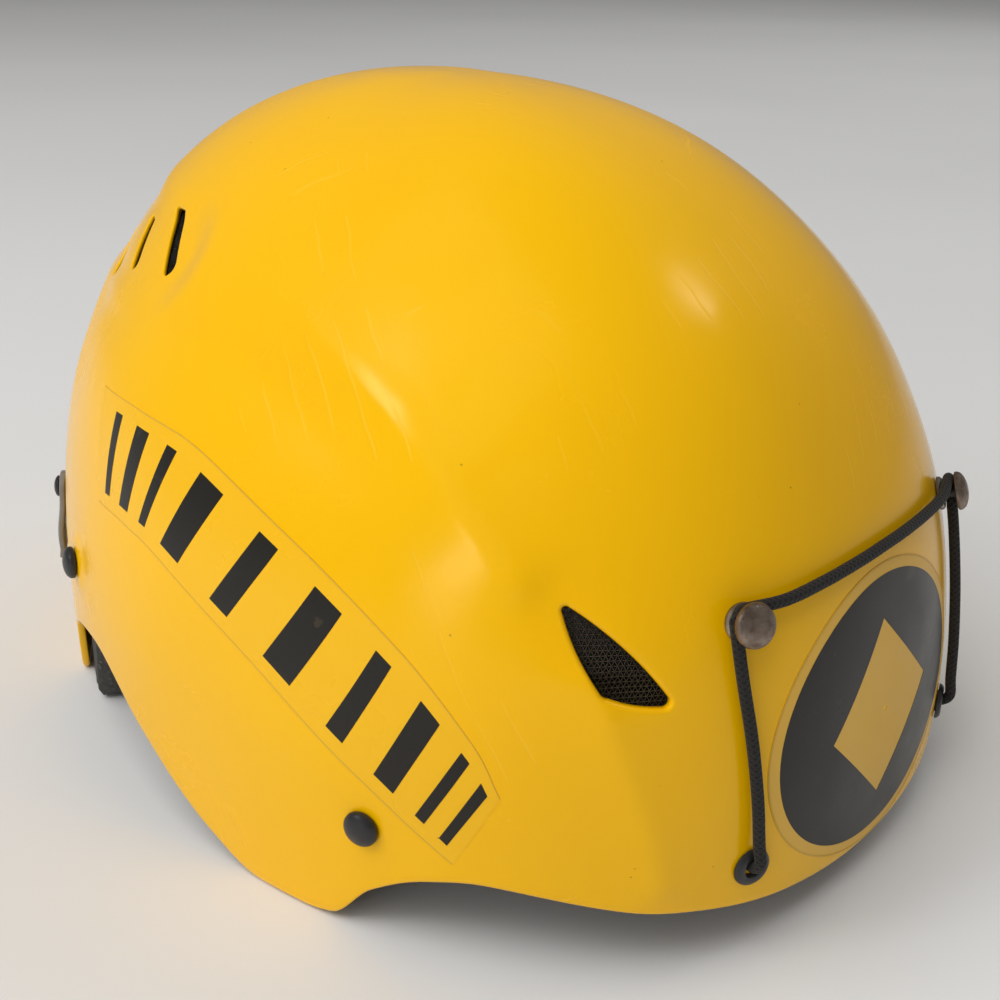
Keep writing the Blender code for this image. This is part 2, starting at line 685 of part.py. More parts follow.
def gear_outline():
    points = []
    root = PINION_PITCH_RADIUS - TOOTH_DEDENDUM
    tip = PINION_PITCH_RADIUS + TOOTH_ADDENDUM - 0.0001
    for k in range(PINION_TEETH):
        centre = 2 * math.pi * k / PINION_TEETH
        for offset, radius in ((-0.24, root), (-0.09, tip), (0.09, tip), (0.24, root)):
            angle = centre + offset * 2 * math.pi / PINION_TEETH
            points.append((radius * math.sin(angle), radius * math.cos(angle)))
    points.reverse()
    return points


def build_adjuster():
    inner = TAIL_RADIUS - BAND_THICKNESS / 2
    outer = TAIL_RADIUS + BAND_THICKNESS / 2
    clear = 0.0006
    wall = 0.0013
    high = TAIL_HALF_HEIGHT + clear
    floor = inner - clear
    lip = outer + clear
    section = [(floor - wall, -high - wall), (lip, -high - wall), (lip, -high), (floor, -high),
               (floor, high), (lip, high), (lip, high + wall), (floor - wall, high + wall)]
    reach = 27.0

    def channel(u, a, b):
        return band_point(reach - 2 * reach * u, a, b)

    swept("adjuster_housing", section, 14, channel, BLACK)
    cover = band("adjuster_cover", reach, -reach, 14, lip + GAP, lip + GAP + wall, high + wall, BLACK)
    cut(cover, drill("cover_hole", knob_frame(lip), 0.0038, 0.004, 0.006, steps=24))
    pinion_face = TAIL_RADIUS - 0.0005
    gear = plate("adjuster_pinion", gear_outline(), 0.0010, knob_frame(pinion_face + 0.0004), None)
    gear.data.materials.append(STEEL)
    base = lip + wall + 2 * GAP
    knob = [(0, base + 0.0095), (KNOB_RADIUS * 0.75, base + 0.0095), (KNOB_RADIUS * 0.93, base + 0.0082),
            (KNOB_RADIUS, base + 0.0050), (KNOB_RADIUS, base + 0.0006), (KNOB_RADIUS - 0.0006, base),
            (0.0034, base), (0.0034, pinion_face + 0.0012), (0, pinion_face + 0.0012)]
    grip = turned("adjuster_knob", knob, knob_frame(0), BLACK, steps=32)
    for k in range(8):
        angle = math.radians(45 * k + 22.5)
        spot = knob_frame(base) @ Matrix.Translation(
            ((KNOB_RADIUS + 0.0022) * math.cos(angle), (KNOB_RADIUS + 0.0022) * math.sin(angle), 0))
        cut(grip, drill(f"knob_flute_{k}", spot, 0.0034, -0.0016, 0.0120, steps=12))
    soft_band("nape_pad", 24, -24, 12, floor - wall - GAP - 0.0035, floor - wall - GAP, 0.0100, PAD)


def build_headband():
    half = BAND_THICKNESS / 2
    outer = FRONT_BAND_RADIUS + half
    front = band("headband_front", 86, 274, 40, outer - BAND_THICKNESS, outer, FRONT_BAND_HALF_HEIGHT, BLACK)
    soft_band("brow_pad", 128, 232, 22, outer - BAND_THICKNESS - GAP - 0.0036, outer - BAND_THICKNESS - GAP,
              0.0125, PAD)
    for word, side in SIDES:
        temple = Matrix.Translation(sided((-FRONT_BAND_RADIUS, BAND_CENTRE_Y, BAND_HEIGHT), side))
        temple = temple @ Matrix.Rotation(math.radians(-90 * side), 4, "Y")
        cut(front, drill("band_temple_hole_" + word, temple, 0.0020 + GAP, 0.004))
        head = -half - 2 * GAP
        peg = [(0, 0.0205), (0.0020, 0.0205), (0.0020, head), (0.0048, head), (0.0048, head - 0.0011),
               (0, head - 0.0011)]
        turned("temple_peg_" + word, peg, temple, BLACK, steps=12)
        gap = TAIL_RADIUS - FRONT_BAND_RADIUS + half + 0.0011
        ring = [(0.0070, gap + 0.0018), (0.0070, gap), (0.0020 + GAP, gap), (0.0020 + GAP, gap + 0.0018)]
        turned("temple_swivel_" + word, ring, temple, BLACK, steps=16)
        post = front_post_frame(side)
        inner_end = -POST_REACH + half + 2 * GAP
        pin = [(0, 0.0045), (0.0025, 0.0045), (0.0025, inner_end + 0.0016), (0.0055, inner_end + 0.0012),
               (0.0055, inner_end), (0, inner_end)]
        turned("band_post_" + word, pin, post, BLACK, steps=12)


def build_liner_pads():
    depth = LINER_INNER + 0.0016
    top = CROWN_HEIGHT - depth

    def crown(u, v):
        low = top - 0.0110
        return shell_point(360 * u, low + (top - low) * math.sin(v * math.pi / 2), depth)

    solid_sheet("crown_pad", 20, 4, crown, 0.0050, PAD)
    for word, side in SIDES:

        def patch(u, v, side=side):
            return sided(shell_point(72 + 34 * u, 0.0780 + 0.0260 * v, depth + 0.0012), side)

        solid_sheet("side_pad_" + word, 6, 4, patch, 0.0050, PAD)


# ---------------------------------------------------------------- chin strap
DIVIDER = Vector((-0.0838, -0.0080, 0.0150))
BUCKLE_START = Vector((-0.0790, -0.0250, 0.0))
BUCKLE_END = Vector((-0.0600, -0.0800, 0.0))


def build_harness():
    outward = Vector((-1, 0, 0))
    for word, side in SIDES:
        for place, (at, height) in RIVETS.items():
            frame = shell_frame(at, height)
            lift = LINER_INNER + 0.0021
            start = frame @ Vector((0, 0, -lift))
            normal = frame.to_3x3().col[2]
            toward = DIVIDER - start
            toward = (toward - normal * normal.dot(toward)).normalized()
            last = DIVIDER + Vector((0, -0.0165 if place == "front" else 0.0190, 0.0040))
            route = [(start - toward * 0.0060, normal), (start + toward * 0.0060, normal),
                     ((start + last) / 2 + outward * 0.0010, (normal + outward) / 2), (last, outward)]
            route = [(sided(p, side), sided(n, side) * side) for p, n in route]
            strap = webbing(f"{place}_webbing_{word}", route, 10)
            cut(strap, drill(f"strap_hole_{place}_{word}", shell_frame(side * at, height),
                             RIVET_SHANK_RADIUS + GAP, 0.030))
        frame = Matrix((Vector((0, 1, 0)), Vector((0, 0, 1)), Vector((1, 0, 0)))).transposed().to_4x4()
        frame.translation = sided(DIVIDER, side)
        plate_part = block("strap_divider_" + word, (0.0250, 0.0220, 0.0032), frame, BLACK, 0.0008)
        for k, (x, tilt) in enumerate(((-0.0085, 12), (0.0085, -12), (0.0, 90))):
            y = 0.001 if tilt != 90 else -0.0068
            slot = frame @ Matrix.Translation((x, y, 0)) @ Matrix.Rotation(math.radians(tilt), 4, "Z")
            size = (0.0024, 0.0150, 0.010) if tilt != 90 else (0.0024, 0.0120, 0.010)
            cut(plate_part, block(f"divider_slot_{word}_{k}", size, slot, None, cutter=True))


def along_buckle(distance, drop=0.0):
    way = (BUCKLE_END - BUCKLE_START).normalized()
    point = BUCKLE_START + way * distance
    return Vector((point.x, point.y, STRAP_HEIGHT + drop))


def outward_of_buckle():
    """Level direction across the buckle, away from the wearer."""
    out = (BUCKLE_END - BUCKLE_START).normalized().cross(Vector((0, 0, 1))).normalized()
    return out if out.x < 0 else -out


def buckle_frame(distance, side=1):
    way = (BUCKLE_END - BUCKLE_START).normalized()
    out = way.cross(Vector((0, 0, 1))).normalized()
    frame = Matrix((way, Vector((0, 0, 1)), out)).transposed().to_4x4()
    frame.translation = along_buckle(distance)
    if side < 0:
        frame = mirrored_frame(frame)
    return frame


def build_buckle():
    """Side-release buckle on the right: the male's two prongs sit in the female's side windows."""
    female = block("buckle_female", (0.0280, 0.0220, 0.0086), buckle_frame(0.0210), BLACK, 0.0012)
    cut(female, block("buckle_cavity", (0.0250, 0.0176, 0.0050), buckle_frame(0.0240), None, cutter=True))
    cut(female, block("buckle_windows", (0.0100, 0.0300, 0.0050), buckle_frame(0.0200), None, cutter=True))
    male = block("buckle_male", (0.0110, 0.0200, 0.0070), buckle_frame(0.0410), BLACK, 0.0010)
    tongue = block("buckle_tongue", (0.0180, 0.0034, 0.0040), buckle_frame(0.0280), BLACK, cutter=True)
    join = male.modifiers.new("tongue", "BOOLEAN")
    join.operation = "UNION"
    join.object = tongue
    for word, sign in (("upper", 1), ("lower", -1)):
        outline = [(0.0, 0.0), (-0.0110, 0.0006), (-0.0110, 0.0030), (-0.0150, 0.0024), (-0.0184, -0.0010),
                   (-0.0184, -0.0028), (-0.0120, -0.0022), (0.0, -0.0022)]
        outline = [(x, y * sign) for x, y in outline]
        if sign > 0:
            outline.reverse()
        place = buckle_frame(0.0352) @ Matrix.Translation((0, sign * 0.0076, 0))
        prong = plate("buckle_prong_" + word, outline, 0.0036, place, None)
        prong.data.materials.append(BLACK)


def build_chin_strap():
    out = Vector((-1, 0, 0))
    ahead = Vector((0, -1, 0))
    slant = outward_of_buckle()
    start = DIVIDER + Vector((0.0027, -0.0030, 0))
    start.z = STRAP_HEIGHT
    route = [(start, out), (along_buckle(0.0030), slant), (along_buckle(0.0067), slant)]
    webbing("chin_webbing_right", route, 5)
    corner = Vector((-0.0380, -0.0955, STRAP_HEIGHT))
    front = Vector((0, -0.0975, STRAP_HEIGHT))
    bend = (slant + ahead).normalized()
    straight = [0.0560 - 0.0100 * k for k in range(5)]
    left = [sided(p, -1) for p in [corner] + [along_buckle(d) for d in straight] + [start]]
    facing = [sided(n, -1) for n in [bend] + [slant] * 5 + [out]]
    route = [(along_buckle(0.0474), slant), (along_buckle(0.0520), slant), (corner, bend), (front, ahead)]
    route += list(zip(left, facing))
    webbing("chin_webbing_left", route, 34)


def build_strap_fittings():
    slide = buckle_frame(0.0210, -1)
    slider = block("strap_slider", (0.0140, 0.0220, 0.0060), slide, BLACK, 0.0010)
    cut(slider, block("slider_slot", (0.0300, 0.0160, 0.0034), slide, None, cutter=True))
    slant = outward_of_buckle()
    layer = STRAP_THICKNESS + 0.0010
    way = [along_buckle(d) - slant * layer for d in (0.0290, 0.0380, 0.0470, 0.0550)]
    webbing("webbing_end", [(sided(p, -1), sided(slant, -1)) for p in way], 5)
    ring = buckle_frame(0.0420, -1)
    ring.translation = ring.translation - sided(slant, -1) * layer / 2
    slot = layer + STRAP_THICKNESS + 2 * GAP
    keeper = block("strap_keeper", (0.0060, 0.0190, slot + 0.0026), ring, BLACK, 0.0008)
    cut(keeper, block("keeper_slot", (0.0200, STRAP_WIDTH + 0.0008, slot), ring, None, cutter=True))


def build_chin_pad():
    frame = Matrix((Vector((1, 0, 0)), Vector((0, 0, 1)), Vector((0, -1, 0)))).transposed().to_4x4()
    frame.translation = (0, -0.0975, STRAP_HEIGHT)
    pad = block("chin_pad", (0.0440, 0.0210, 0.0080), frame, PAD, 0.0018)
    cut(pad, block("chin_pad_slot", (0.0600, 0.0160, 0.0036), frame, None, cutter=True))


build_shell_and_liner()
build_harness_rivets()
build_lamp_cord()
build_lamp_clips()
build_headband()
build_tails()
build_adjuster()
build_liner_pads()
build_harness()
build_buckle()
build_chin_strap()
build_strap_fittings()
build_chin_pad()
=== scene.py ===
"""Climbing helmet: the looks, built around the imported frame.

Every piece is made here at full detail, in the frame's metres, and stands for the CAD node of the same place.
The front looks along -Y, +Z is up and the wearer's right side is -X. Degrees run from the front to the right.
"""
import math

import bmesh
import bpy
import numpy as np
from mathutils import Matrix, Vector


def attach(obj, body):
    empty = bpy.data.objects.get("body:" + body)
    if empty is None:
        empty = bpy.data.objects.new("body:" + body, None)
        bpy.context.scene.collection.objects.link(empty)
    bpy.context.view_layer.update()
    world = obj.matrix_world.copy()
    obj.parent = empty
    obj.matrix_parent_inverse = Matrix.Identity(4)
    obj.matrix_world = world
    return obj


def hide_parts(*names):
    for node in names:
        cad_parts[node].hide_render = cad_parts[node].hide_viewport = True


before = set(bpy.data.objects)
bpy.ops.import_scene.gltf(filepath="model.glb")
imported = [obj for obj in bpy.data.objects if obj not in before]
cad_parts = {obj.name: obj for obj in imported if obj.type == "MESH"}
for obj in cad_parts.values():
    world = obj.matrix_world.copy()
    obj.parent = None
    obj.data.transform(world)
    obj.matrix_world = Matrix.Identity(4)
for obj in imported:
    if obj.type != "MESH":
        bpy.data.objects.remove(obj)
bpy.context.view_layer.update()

# ---------------------------------------------------------------- driving dimensions, as in the CAD
HALF_WIDTH = 0.1065
FRONT_LENGTH = 0.1365
REAR_LENGTH = 0.1385
CROWN_HEIGHT = 0.1765
CENTRE_Y = -0.0010
FRONT_SQUARENESS = 2.6
REAR_SQUARENESS = 1.75
EQUATOR = (0.023, 0.042, 0.040)
FULLNESS = (2.15, 1.9, 2.3)
RIM = [(0, 0.0085), (15, 0.0110), (30, 0.0165), (45, 0.0215), (51, 0.0188), (57, 0.0118),
       (62, 0.0012), (66, 0.0), (73, 0.0), (82, 0.0060), (97, 0.0224), (112, 0.0342),
       (133, 0.0195), (137, 0.0), (180, 0.0)]
LINER_RIM = [(0, 0.0115), (15, 0.0140), (30, 0.0195), (45, 0.0245), (51, 0.0218), (57, 0.0150),
             (62, 0.0042), (66, 0.0030), (73, 0.0030), (82, 0.0090), (97, 0.0270), (108, 0.0350),
             (120, 0.0330), (128, 0.0), (180, 0.0)]
SHELL_WALL = 0.0022
LINER_OUTER = 0.0039
LINER_INNER = 0.0156
FOAM_CHAMFER = 0.0012

RIVETS = {"front": (57.7, 0.0292), "rear": (119.0, 0.0523)}
STUD = (21.0, 0.0812)
EYELET = (19.7, 0.0235)
CORD_RADIUS = 0.00138
VENT = [(37.9, 0.0868), (34.6, 0.0692), (28.4, 0.0664)]
REAR_SLOTS = [((130.0, 0.1440), (117.0, 0.1310)), ((141.5, 0.1385), (133.5, 0.1265)),
              ((151.5, 0.1320), (145.0, 0.1195))]
REAR_SLOT_WIDTH = 0.0055
LAMP_CLIP = (142.0, 0.0460)
LAMP_CLIP_LENGTH = 0.0270
LAMP_CLIP_WIDTH = 0.0110
LAMP_CLIP_THICKNESS = 0.0016

BAND_CENTRE_Y = 0.0120
BAND_HEIGHT = 0.0400
TAIL_RADIUS = 0.0780
FRONT_BAND_RADIUS = 0.0754
FRONT_BAND_REACH = 0.1270
POST_REACH = 0.0075
TAIL_HALF_HEIGHT = 0.0090
PINION_TEETH = 12
PINION_PITCH_RADIUS = 0.0060
TOOTH_PITCH = 2 * math.pi * PINION_PITCH_RADIUS / PINION_TEETH
TOOTH_ADDENDUM = 0.0008
TOOTH_DEDENDUM = 0.0012
KNOB_RADIUS = 0.0135

STRAP_WIDTH = 0.0150
STRAP_THICKNESS = 0.0014
STRAP_HEIGHT = 0.0120
DIVIDER = np.array((-0.0838, -0.0080, 0.0150))
BUCKLE_START = np.array((-0.0790, -0.0250, 0.0))
BUCKLE_END = np.array((-0.0600, -0.0800, 0.0))

SIDES = (("right", 1), ("left", -1))
UP = np.array((0.0, 0.0, 1.0))


# ---------------------------------------------------------------- numbers
def unit(vectors):
    vectors = np.asarray(vectors, float)
    return vectors / np.maximum(np.linalg.norm(vectors, axis=-1, keepdims=True), 1e-12)


def smoothstep(low, high, values):
    t = np.clip((values - low) / (high - low), 0, 1)
    return t * t * (3 - 2 * t)


def smooth_path(points, count):
    """Count points along a Catmull-Rom curve through the given ones."""
    route = np.array([tuple(p) for p in points], float)
    route = np.vstack([2 * route[0] - route[1], route, 2 * route[-1] - route[-2]])
    at = np.linspace(0, len(route) - 3, count)
    i = np.minimum(at.astype(int), len(route) - 4)
    t = (at - i)[:, None]
    a, b, c, d = (route[i + k] for k in range(4))
    return 0.5 * (2 * b + (c - a) * t + (2 * a - 5 * b + 4 * c - d) * t ** 2
                  + (3 * b - a - 3 * c + d) * t ** 3)


def distance_to(path, points):
    """Distance from each point to a line through the path's points."""
    best = np.full(points.shape[:-1], 1e9)
    for start, end in zip(path[:-1], path[1:]):
        run = end - start
        share = np.clip(((points - start) @ run) / (run @ run), 0, 1)
        best = np.minimum(best, np.linalg.norm(points - start - share[..., None] * run, axis=-1))
    return best


# ---------------------------------------------------------------- shapes of the helmet
def rim_height(rim, degrees):
    """Height of the smooth curve through a rim's (angle, height) points, which never overshoots them."""
    x, y = np.array(rim, float).T
    slope = np.diff(y) / np.diff(x)
    tangent = np.zeros_like(x)
    same = slope[:-1] * slope[1:] > 0
    total = np.where(same, slope[:-1] + slope[1:], 1)
    tangent[1:-1] = np.where(same, 2 * slope[:-1] * slope[1:] / total, 0)
    at = np.abs(degrees)
    i = np.clip(np.searchsorted(x, at, side="right") - 1, 0, len(x) - 2)
    span = x[i + 1] - x[i]
    t = (at - x[i]) / span
    rise = (2 * t ** 3 - 3 * t ** 2 + 1) * y[i] + (3 * t ** 2 - 2 * t ** 3) * y[i + 1]
    return rise + ((t ** 3 - 2 * t ** 2 + t) * tangent[i] + (t ** 3 - t ** 2) * tangent[i + 1]) * span


def plan_reach(degrees, inset):
    """The widest outline seen from above, rounded a little where its front and rear halves meet."""
    reach = 0.0
    for offset, weight in ((-6, 1), (-3, 4), (0, 6), (3, 4), (6, 1)):
        angle = np.radians(degrees + offset)
        ahead = np.cos(angle) > 0
        length = np.where(ahead, FRONT_LENGTH, REAR_LENGTH) - inset
        power = np.where(ahead, FRONT_SQUARENESS, REAR_SQUARENESS)
        along = np.abs(np.cos(angle) / length) ** power
        across = np.abs(np.sin(angle) / (HALF_WIDTH - inset)) ** power
        reach = reach + weight / 16 * (along + across) ** (-1 / power)
    return reach


def base_point(degrees, height, inset=0.0):
    """Points of the plain dome, or of the same shape that much smaller."""
    degrees, height = np.broadcast_arrays(np.asarray(degrees, float), np.asarray(height, float))
    angle = np.radians(degrees)
    share = np.cos(angle) ** 2
    ahead = np.cos(angle) > 0
    equator, full = (v[1] * (1 - share) + np.where(ahead, v[0], v[2]) * share for v in (EQUATOR, FULLNESS))
    climb = np.clip((height - equator) / (CROWN_HEIGHT - inset - equator), 0, 1)
    reach = plan_reach(degrees, inset) * (1 - climb ** full) ** (1 / full)
    return np.stack([-reach * np.sin(angle), CENTRE_Y - reach * np.cos(angle), height], axis=-1)


CREST = smooth_path([(-0.064, 0.030, 0.1475), (-0.0725, 0.0, 0.1405), (-0.078, -0.031, 0.129),
                     (-0.080, -0.047, 0.123), (-0.0805, -0.062, 0.115), (-0.081, -0.077, 0.102),
                     (-0.080, -0.089, 0.0915)], 40)
VALLEY = smooth_path([(-0.060, 0.082, 0.1130), (-0.075, 0.056, 0.1165), (-0.083, 0.006, 0.121),
                      (-0.085, -0.018, 0.118), (-0.087, -0.039, 0.112), (-0.089, -0.058, 0.103)], 36)
PILLAR = smooth_path(base_point([35.2, 33.6, 31.4, 30.0, 29.0], [0.0725, 0.0600, 0.0460, 0.0350, 0.0240]), 24)
SLOT_BASIN = smooth_path([(-0.066, 0.036, 0.1330), (-0.061, 0.056, 0.1310), (-0.052, 0.074, 0.1300),
                          (-0.037, 0.089, 0.1310), (-0.018, 0.098, 0.1320), (0.0, 0.101, 0.1320)], 30)
VENT_AXIS = base_point([38.6, 33.0], [0.0885, 0.0740])


def crisp(distance, width, softness):
    return np.exp(-(np.sqrt(distance ** 2 + softness ** 2) - softness) / width)


def relief(points):
    """How far the moulded surface stands out from the plain dome: creases, pillars and the rear recess."""
    at = np.array(points, float)
    at[..., 0] = -np.abs(at[..., 0])
    y = at[..., 1]
    high = 0.0016 * crisp(distance_to(CREST, at), 0.0065, 0.0018) * smoothstep(0.045, -0.035, y)
    low = -0.0019 * crisp(distance_to(VALLEY, at), 0.0075, 0.0030) * smoothstep(-0.062, -0.020, y)
    pillar = 0.0018 * crisp(distance_to(PILLAR, at), 0.0080, 0.0014)
    basin = -0.0017 * (1 - smoothstep(0.0080, 0.0190, distance_to(SLOT_BASIN, at)))
    dent = -0.0009 * np.exp(-(distance_to(VENT_AXIS, at) / 0.0065) ** 2)
    rivet = base_point(*RIVETS["rear"])
    boss = 0.0007 * (1 - smoothstep(0.0060, 0.0085, np.linalg.norm(at - rivet, axis=-1)))
    ripple = 0.00010 * (np.sin(at[..., 0] * 95 + 1.7) * np.sin(y * 78 + 0.6) + np.sin(at[...,
                                                                                         2] * 110 + y * 60))
    return high + low + pillar + basin + dent + boss + ripple


def surface(degrees, height, lift=0.0):
    """Points on the moulded shell, lifted by a distance, and the normals there. Not for the very crown."""
    step = 0.0004
    point = base_point(degrees, height)
    level = base_point(np.asarray(degrees) - 0.2, height) - base_point(np.asarray(degrees) + 0.2, height)
    upward = base_point(degrees, np.asarray(height) + step) - base_point(degrees, np.asarray(height) - step)
    normal = unit(np.cross(level, upward))
    return point + normal * (relief(point) + lift)[..., None], normal


def frame_of(x, y, z, origin):
    made = Matrix((Vector(x), Vector(y), Vector(z))).transposed().to_4x4()
    made.translation = Vector(origin)
    return made


def shell_frame(degrees, height, side=1, spin=0.0):
    """Matrix standing on the shell: Z outward, Y up, X level towards smaller degrees; side -1 mirrors it."""
    point, out = (a.reshape(3) for a in surface(float(degrees), float(height)))
    ahead, _ = surface(float(degrees) - 0.3, float(height))
    level = unit(ahead.reshape(3) - point)
    level = unit(level - out * (level @ out))
    made = frame_of(level, np.cross(out, level), out, point)
    if side < 0:
        made = mirrored(made)
    return made @ Matrix.Rotation(spin, 4, "Z")


def mirrored(matrix):
    flip = Matrix.Diagonal((-1, 1, 1, 1))
    return flip @ matrix @ flip


def sided(points, side):
    return np.asarray(points, float) * (side, 1, 1)


# ---------------------------------------------------------------- materials
def new_material(name, colour, roughness, metallic=0.0, **sockets):
    made = bpy.data.materials.new(name)
    made.use_nodes = True
    shader = made.node_tree.nodes["Principled BSDF"]
    shader.inputs["Base Color"].default_value = (*colour, 1.0)
    shader.inputs["Roughness"].default_value = roughness
    shader.inputs["Metallic"].default_value = metallic
    for key, value in sockets.items():
        shader.inputs[key.replace("_", " ").title().replace("Ior", "IOR")].default_value = value
    made.diffuse_color = (*colour, 1.0)
    return made


class Nodes:
    """A short way to wire one material's nodes."""

    def __init__(self, mat):
        self.tree = mat.node_tree
        self.shader = self.tree.nodes["Principled BSDF"]
        self.place = self.tree.nodes.new("ShaderNodeTexCoord")

    def link(self, start, end):
        self.tree.links.new(start, end)

    def mapping(self, source="Object", scale=(1, 1, 1), turn=(0, 0, 0)):
        node = self.tree.nodes.new("ShaderNodeMapping")
        node.inputs["Scale"].default_value = scale
        node.inputs["Rotation"].default_value = turn
        self.link(self.place.outputs[source], node.inputs["Vector"])
        return node.outputs["Vector"]

    def noise(self, scale, detail=3.0, distortion=0.0, vector=None, rough=0.5):
        node = self.tree.nodes.new("ShaderNodeTexNoise")
        node.inputs["Scale"].default_value = scale
        node.inputs["Detail"].default_value = detail
        node.inputs["Roughness"].default_value = rough
        node.inputs["Distortion"].default_value = distortion
        self.link(vector or self.place.outputs["Object"], node.inputs["Vector"])
        return node.outputs["Fac"]

    def cells(self, scale, feature="F1", vector=None, randomness=1.0):
        node = self.tree.nodes.new("ShaderNodeTexVoronoi")
        node.feature = feature
        node.inputs["Scale"].default_value = scale
        node.inputs["Randomness"].default_value = randomness
        self.link(vector or self.place.outputs["Object"], node.inputs["Vector"])
        return node.outputs["Distance"]

    def wave(self, scale, direction, vector, distortion=0.0):
        node = self.tree.nodes.new("ShaderNodeTexWave")
        node.bands_direction = direction
        node.inputs["Scale"].default_value = scale
        node.inputs["Distortion"].default_value = distortion
        self.link(vector, node.inputs["Vector"])
        return node.outputs["Fac"]

    def ramp(self, value, stops):
        """Value to a grey or colour by (position, colour) stops."""
        node = self.tree.nodes.new("ShaderNodeValToRGB")
        line = node.color_ramp
        while len(line.elements) < len(stops):
            line.elements.new(0.5)
        for element, (position, colour) in zip(line.elements, stops):
            element.position = position
            element.color = (colour, colour, colour, 1) if isinstance(colour, (int, float)) else (*colour, 1)
        self.link(value, node.inputs["Fac"])
        return node.outputs["Color"]

    def maths(self, operation, first, second=None):
        node = self.tree.nodes.new("ShaderNodeMath")
        node.operation = operation
        for socket, value in zip(node.inputs, (first, second)):
            if isinstance(value, (int, float)):
                socket.default_value = value
            elif value is not None:
                self.link(value, socket)
        return node.outputs[0]

    def mix(self, factor, first, second, blend="MIX"):
        node = self.tree.nodes.new("ShaderNodeMix")
        node.data_type = "RGBA"
        node.blend_type = blend
        for socket, value in ((node.inputs[0], factor), (node.inputs[6], first), (node.inputs[7], second)):
            if isinstance(value, tuple):
                socket.default_value = (*value, 1)
            elif isinstance(value, (int, float)):
                socket.default_value = value
            else:
                self.link(value, socket)
        return node.outputs[2]

    def bump(self, height, strength, distance, after=None):
        node = self.tree.nodes.new("ShaderNodeBump")
        node.inputs["Strength"].default_value = strength
        node.inputs["Distance"].default_value = distance
        self.link(height, node.inputs["Height"])
        if after is not None:
            self.link(after, node.inputs["Normal"])
        return node.outputs["Normal"]

    def finish(self, colour=None, roughness=None, normal=None):
        for value, key in ((colour, "Base Color"), (roughness, "Roughness"), (normal, "Normal")):
            if value is not None:
                self.link(value, self.shader.inputs[key])


def shell_material(name, colour, deeper, roughness):
    """Glossy moulded plastic with soft clouding, fine scratches, smudges and small specks."""
    mat = new_material(name, colour, roughness, specular_ior_level=0.5, specular_tint=(1.0, 0.86, 0.50, 1.0))
    n = Nodes(mat)
    cloud = n.ramp(n.noise(9.0, 4.0), [(0.35, 0.0), (0.7, 1.0)])
    tint = n.mix(cloud, colour, deeper)
    speck = n.ramp(n.cells(210.0), [(0.030, 1.0), (0.055, 0.0)])
    rare = n.ramp(n.noise(55.0, 1.0), [(0.62, 0.0), (0.66, 1.0)])
    dirt = n.maths("MULTIPLY", n.maths("MULTIPLY", speck, rare), 0.75)
    tint = n.mix(dirt, tint, (0.20, 0.10, 0.01))
    lines = None
    for scale, turn in ((42.0, (0.2, 0.5, 0.9)), (55.0, (1.1, 0.2, -0.6))):
        bent = n.wave(scale, "X", n.mapping(turn=turn), 2.2)
        part = n.ramp(n.noise(scale * 0.5, 2.0, 0.3), [(0.63, 0.0), (0.70, 1.0)])
        one = n.maths("MULTIPLY", n.ramp(bent, [(0.980, 0.0), (0.998, 1.0)]), part)
        lines = one if lines is None else n.maths("MAXIMUM", lines, one)
    pale = tuple(min(1.0, c * 1.05 + 0.10) for c in colour)
    tint = n.mix(n.maths("MULTIPLY", lines, 0.13), tint, pale)
    smudge = n.ramp(n.noise(24.0, 5.0, 0.6), [(0.40, roughness), (0.75, roughness + 0.16)])
    rough = n.maths("ADD", smudge, n.maths("MULTIPLY", lines, 0.25))
    orange_peel = n.bump(n.noise(260.0, 2.0), 0.05, 0.0004)
    normal = n.bump(lines, 0.12, -0.00005, orange_peel)
    n.finish(tint, rough, normal)
    return mat


def print_material():
    mat = new_material("decal_print", (0.011, 0.009, 0.006), 0.34, specular_ior_level=0.35)
    n = Nodes(mat)
    worn = n.ramp(n.noise(140.0, 4.0, 0.3), [(0.66, 0.0), (0.72, 1.0)])
    colour = n.mix(n.maths("MULTIPLY", worn, 0.5), (0.011, 0.009, 0.006), (0.060, 0.045, 0.025))
    n.finish(colour, n.ramp(n.noise(45.0, 3.0), [(0.3, 0.24), (0.8, 0.42)]))
    return mat


def foam_material():
    """Dark expanded foam: fine beads, with paler specks."""
    mat = new_material("foam", (0.045, 0.043, 0.038), 0.9)
    n = Nodes(mat)
    beads = n.cells(420.0)
    fine = n.noise(900.0, 3.0)
    specks = n.ramp(fine, [(0.60, 0.0), (0.74, 1.0)])
    colour = n.mix(specks, n.ramp(n.noise(60.0), [(0.3, (0.030, 0.029, 0.026)), (0.7, (0.062, 0.060,
                                                                                       0.054))]),
                   (0.19, 0.185, 0.17))
    n.finish(colour, None, n.bump(fine, 0.35, 0.0005, n.bump(beads, 0.55, -0.0008)))
    return mat


def moulded_material(name, colour, roughness):
    """Moulded plastic with a fine spark-eroded grain and faint handling marks."""
    mat = new_material(name, colour, roughness)
    n = Nodes(mat)
    pale = tuple(c * 1.7 + 0.006 for c in colour)
    tint = n.mix(n.ramp(n.noise(75.0, 5.0), [(0.45, 0.0), (0.85, 0.8)]), colour, pale)
    rough = n.ramp(n.noise(130.0, 3.0), [(0.3, roughness - 0.08), (0.8, roughness + 0.14)])
    n.finish(tint, rough, n.bump(n.noise(1500.0, 2.0), 0.22, 0.00012))
    return mat


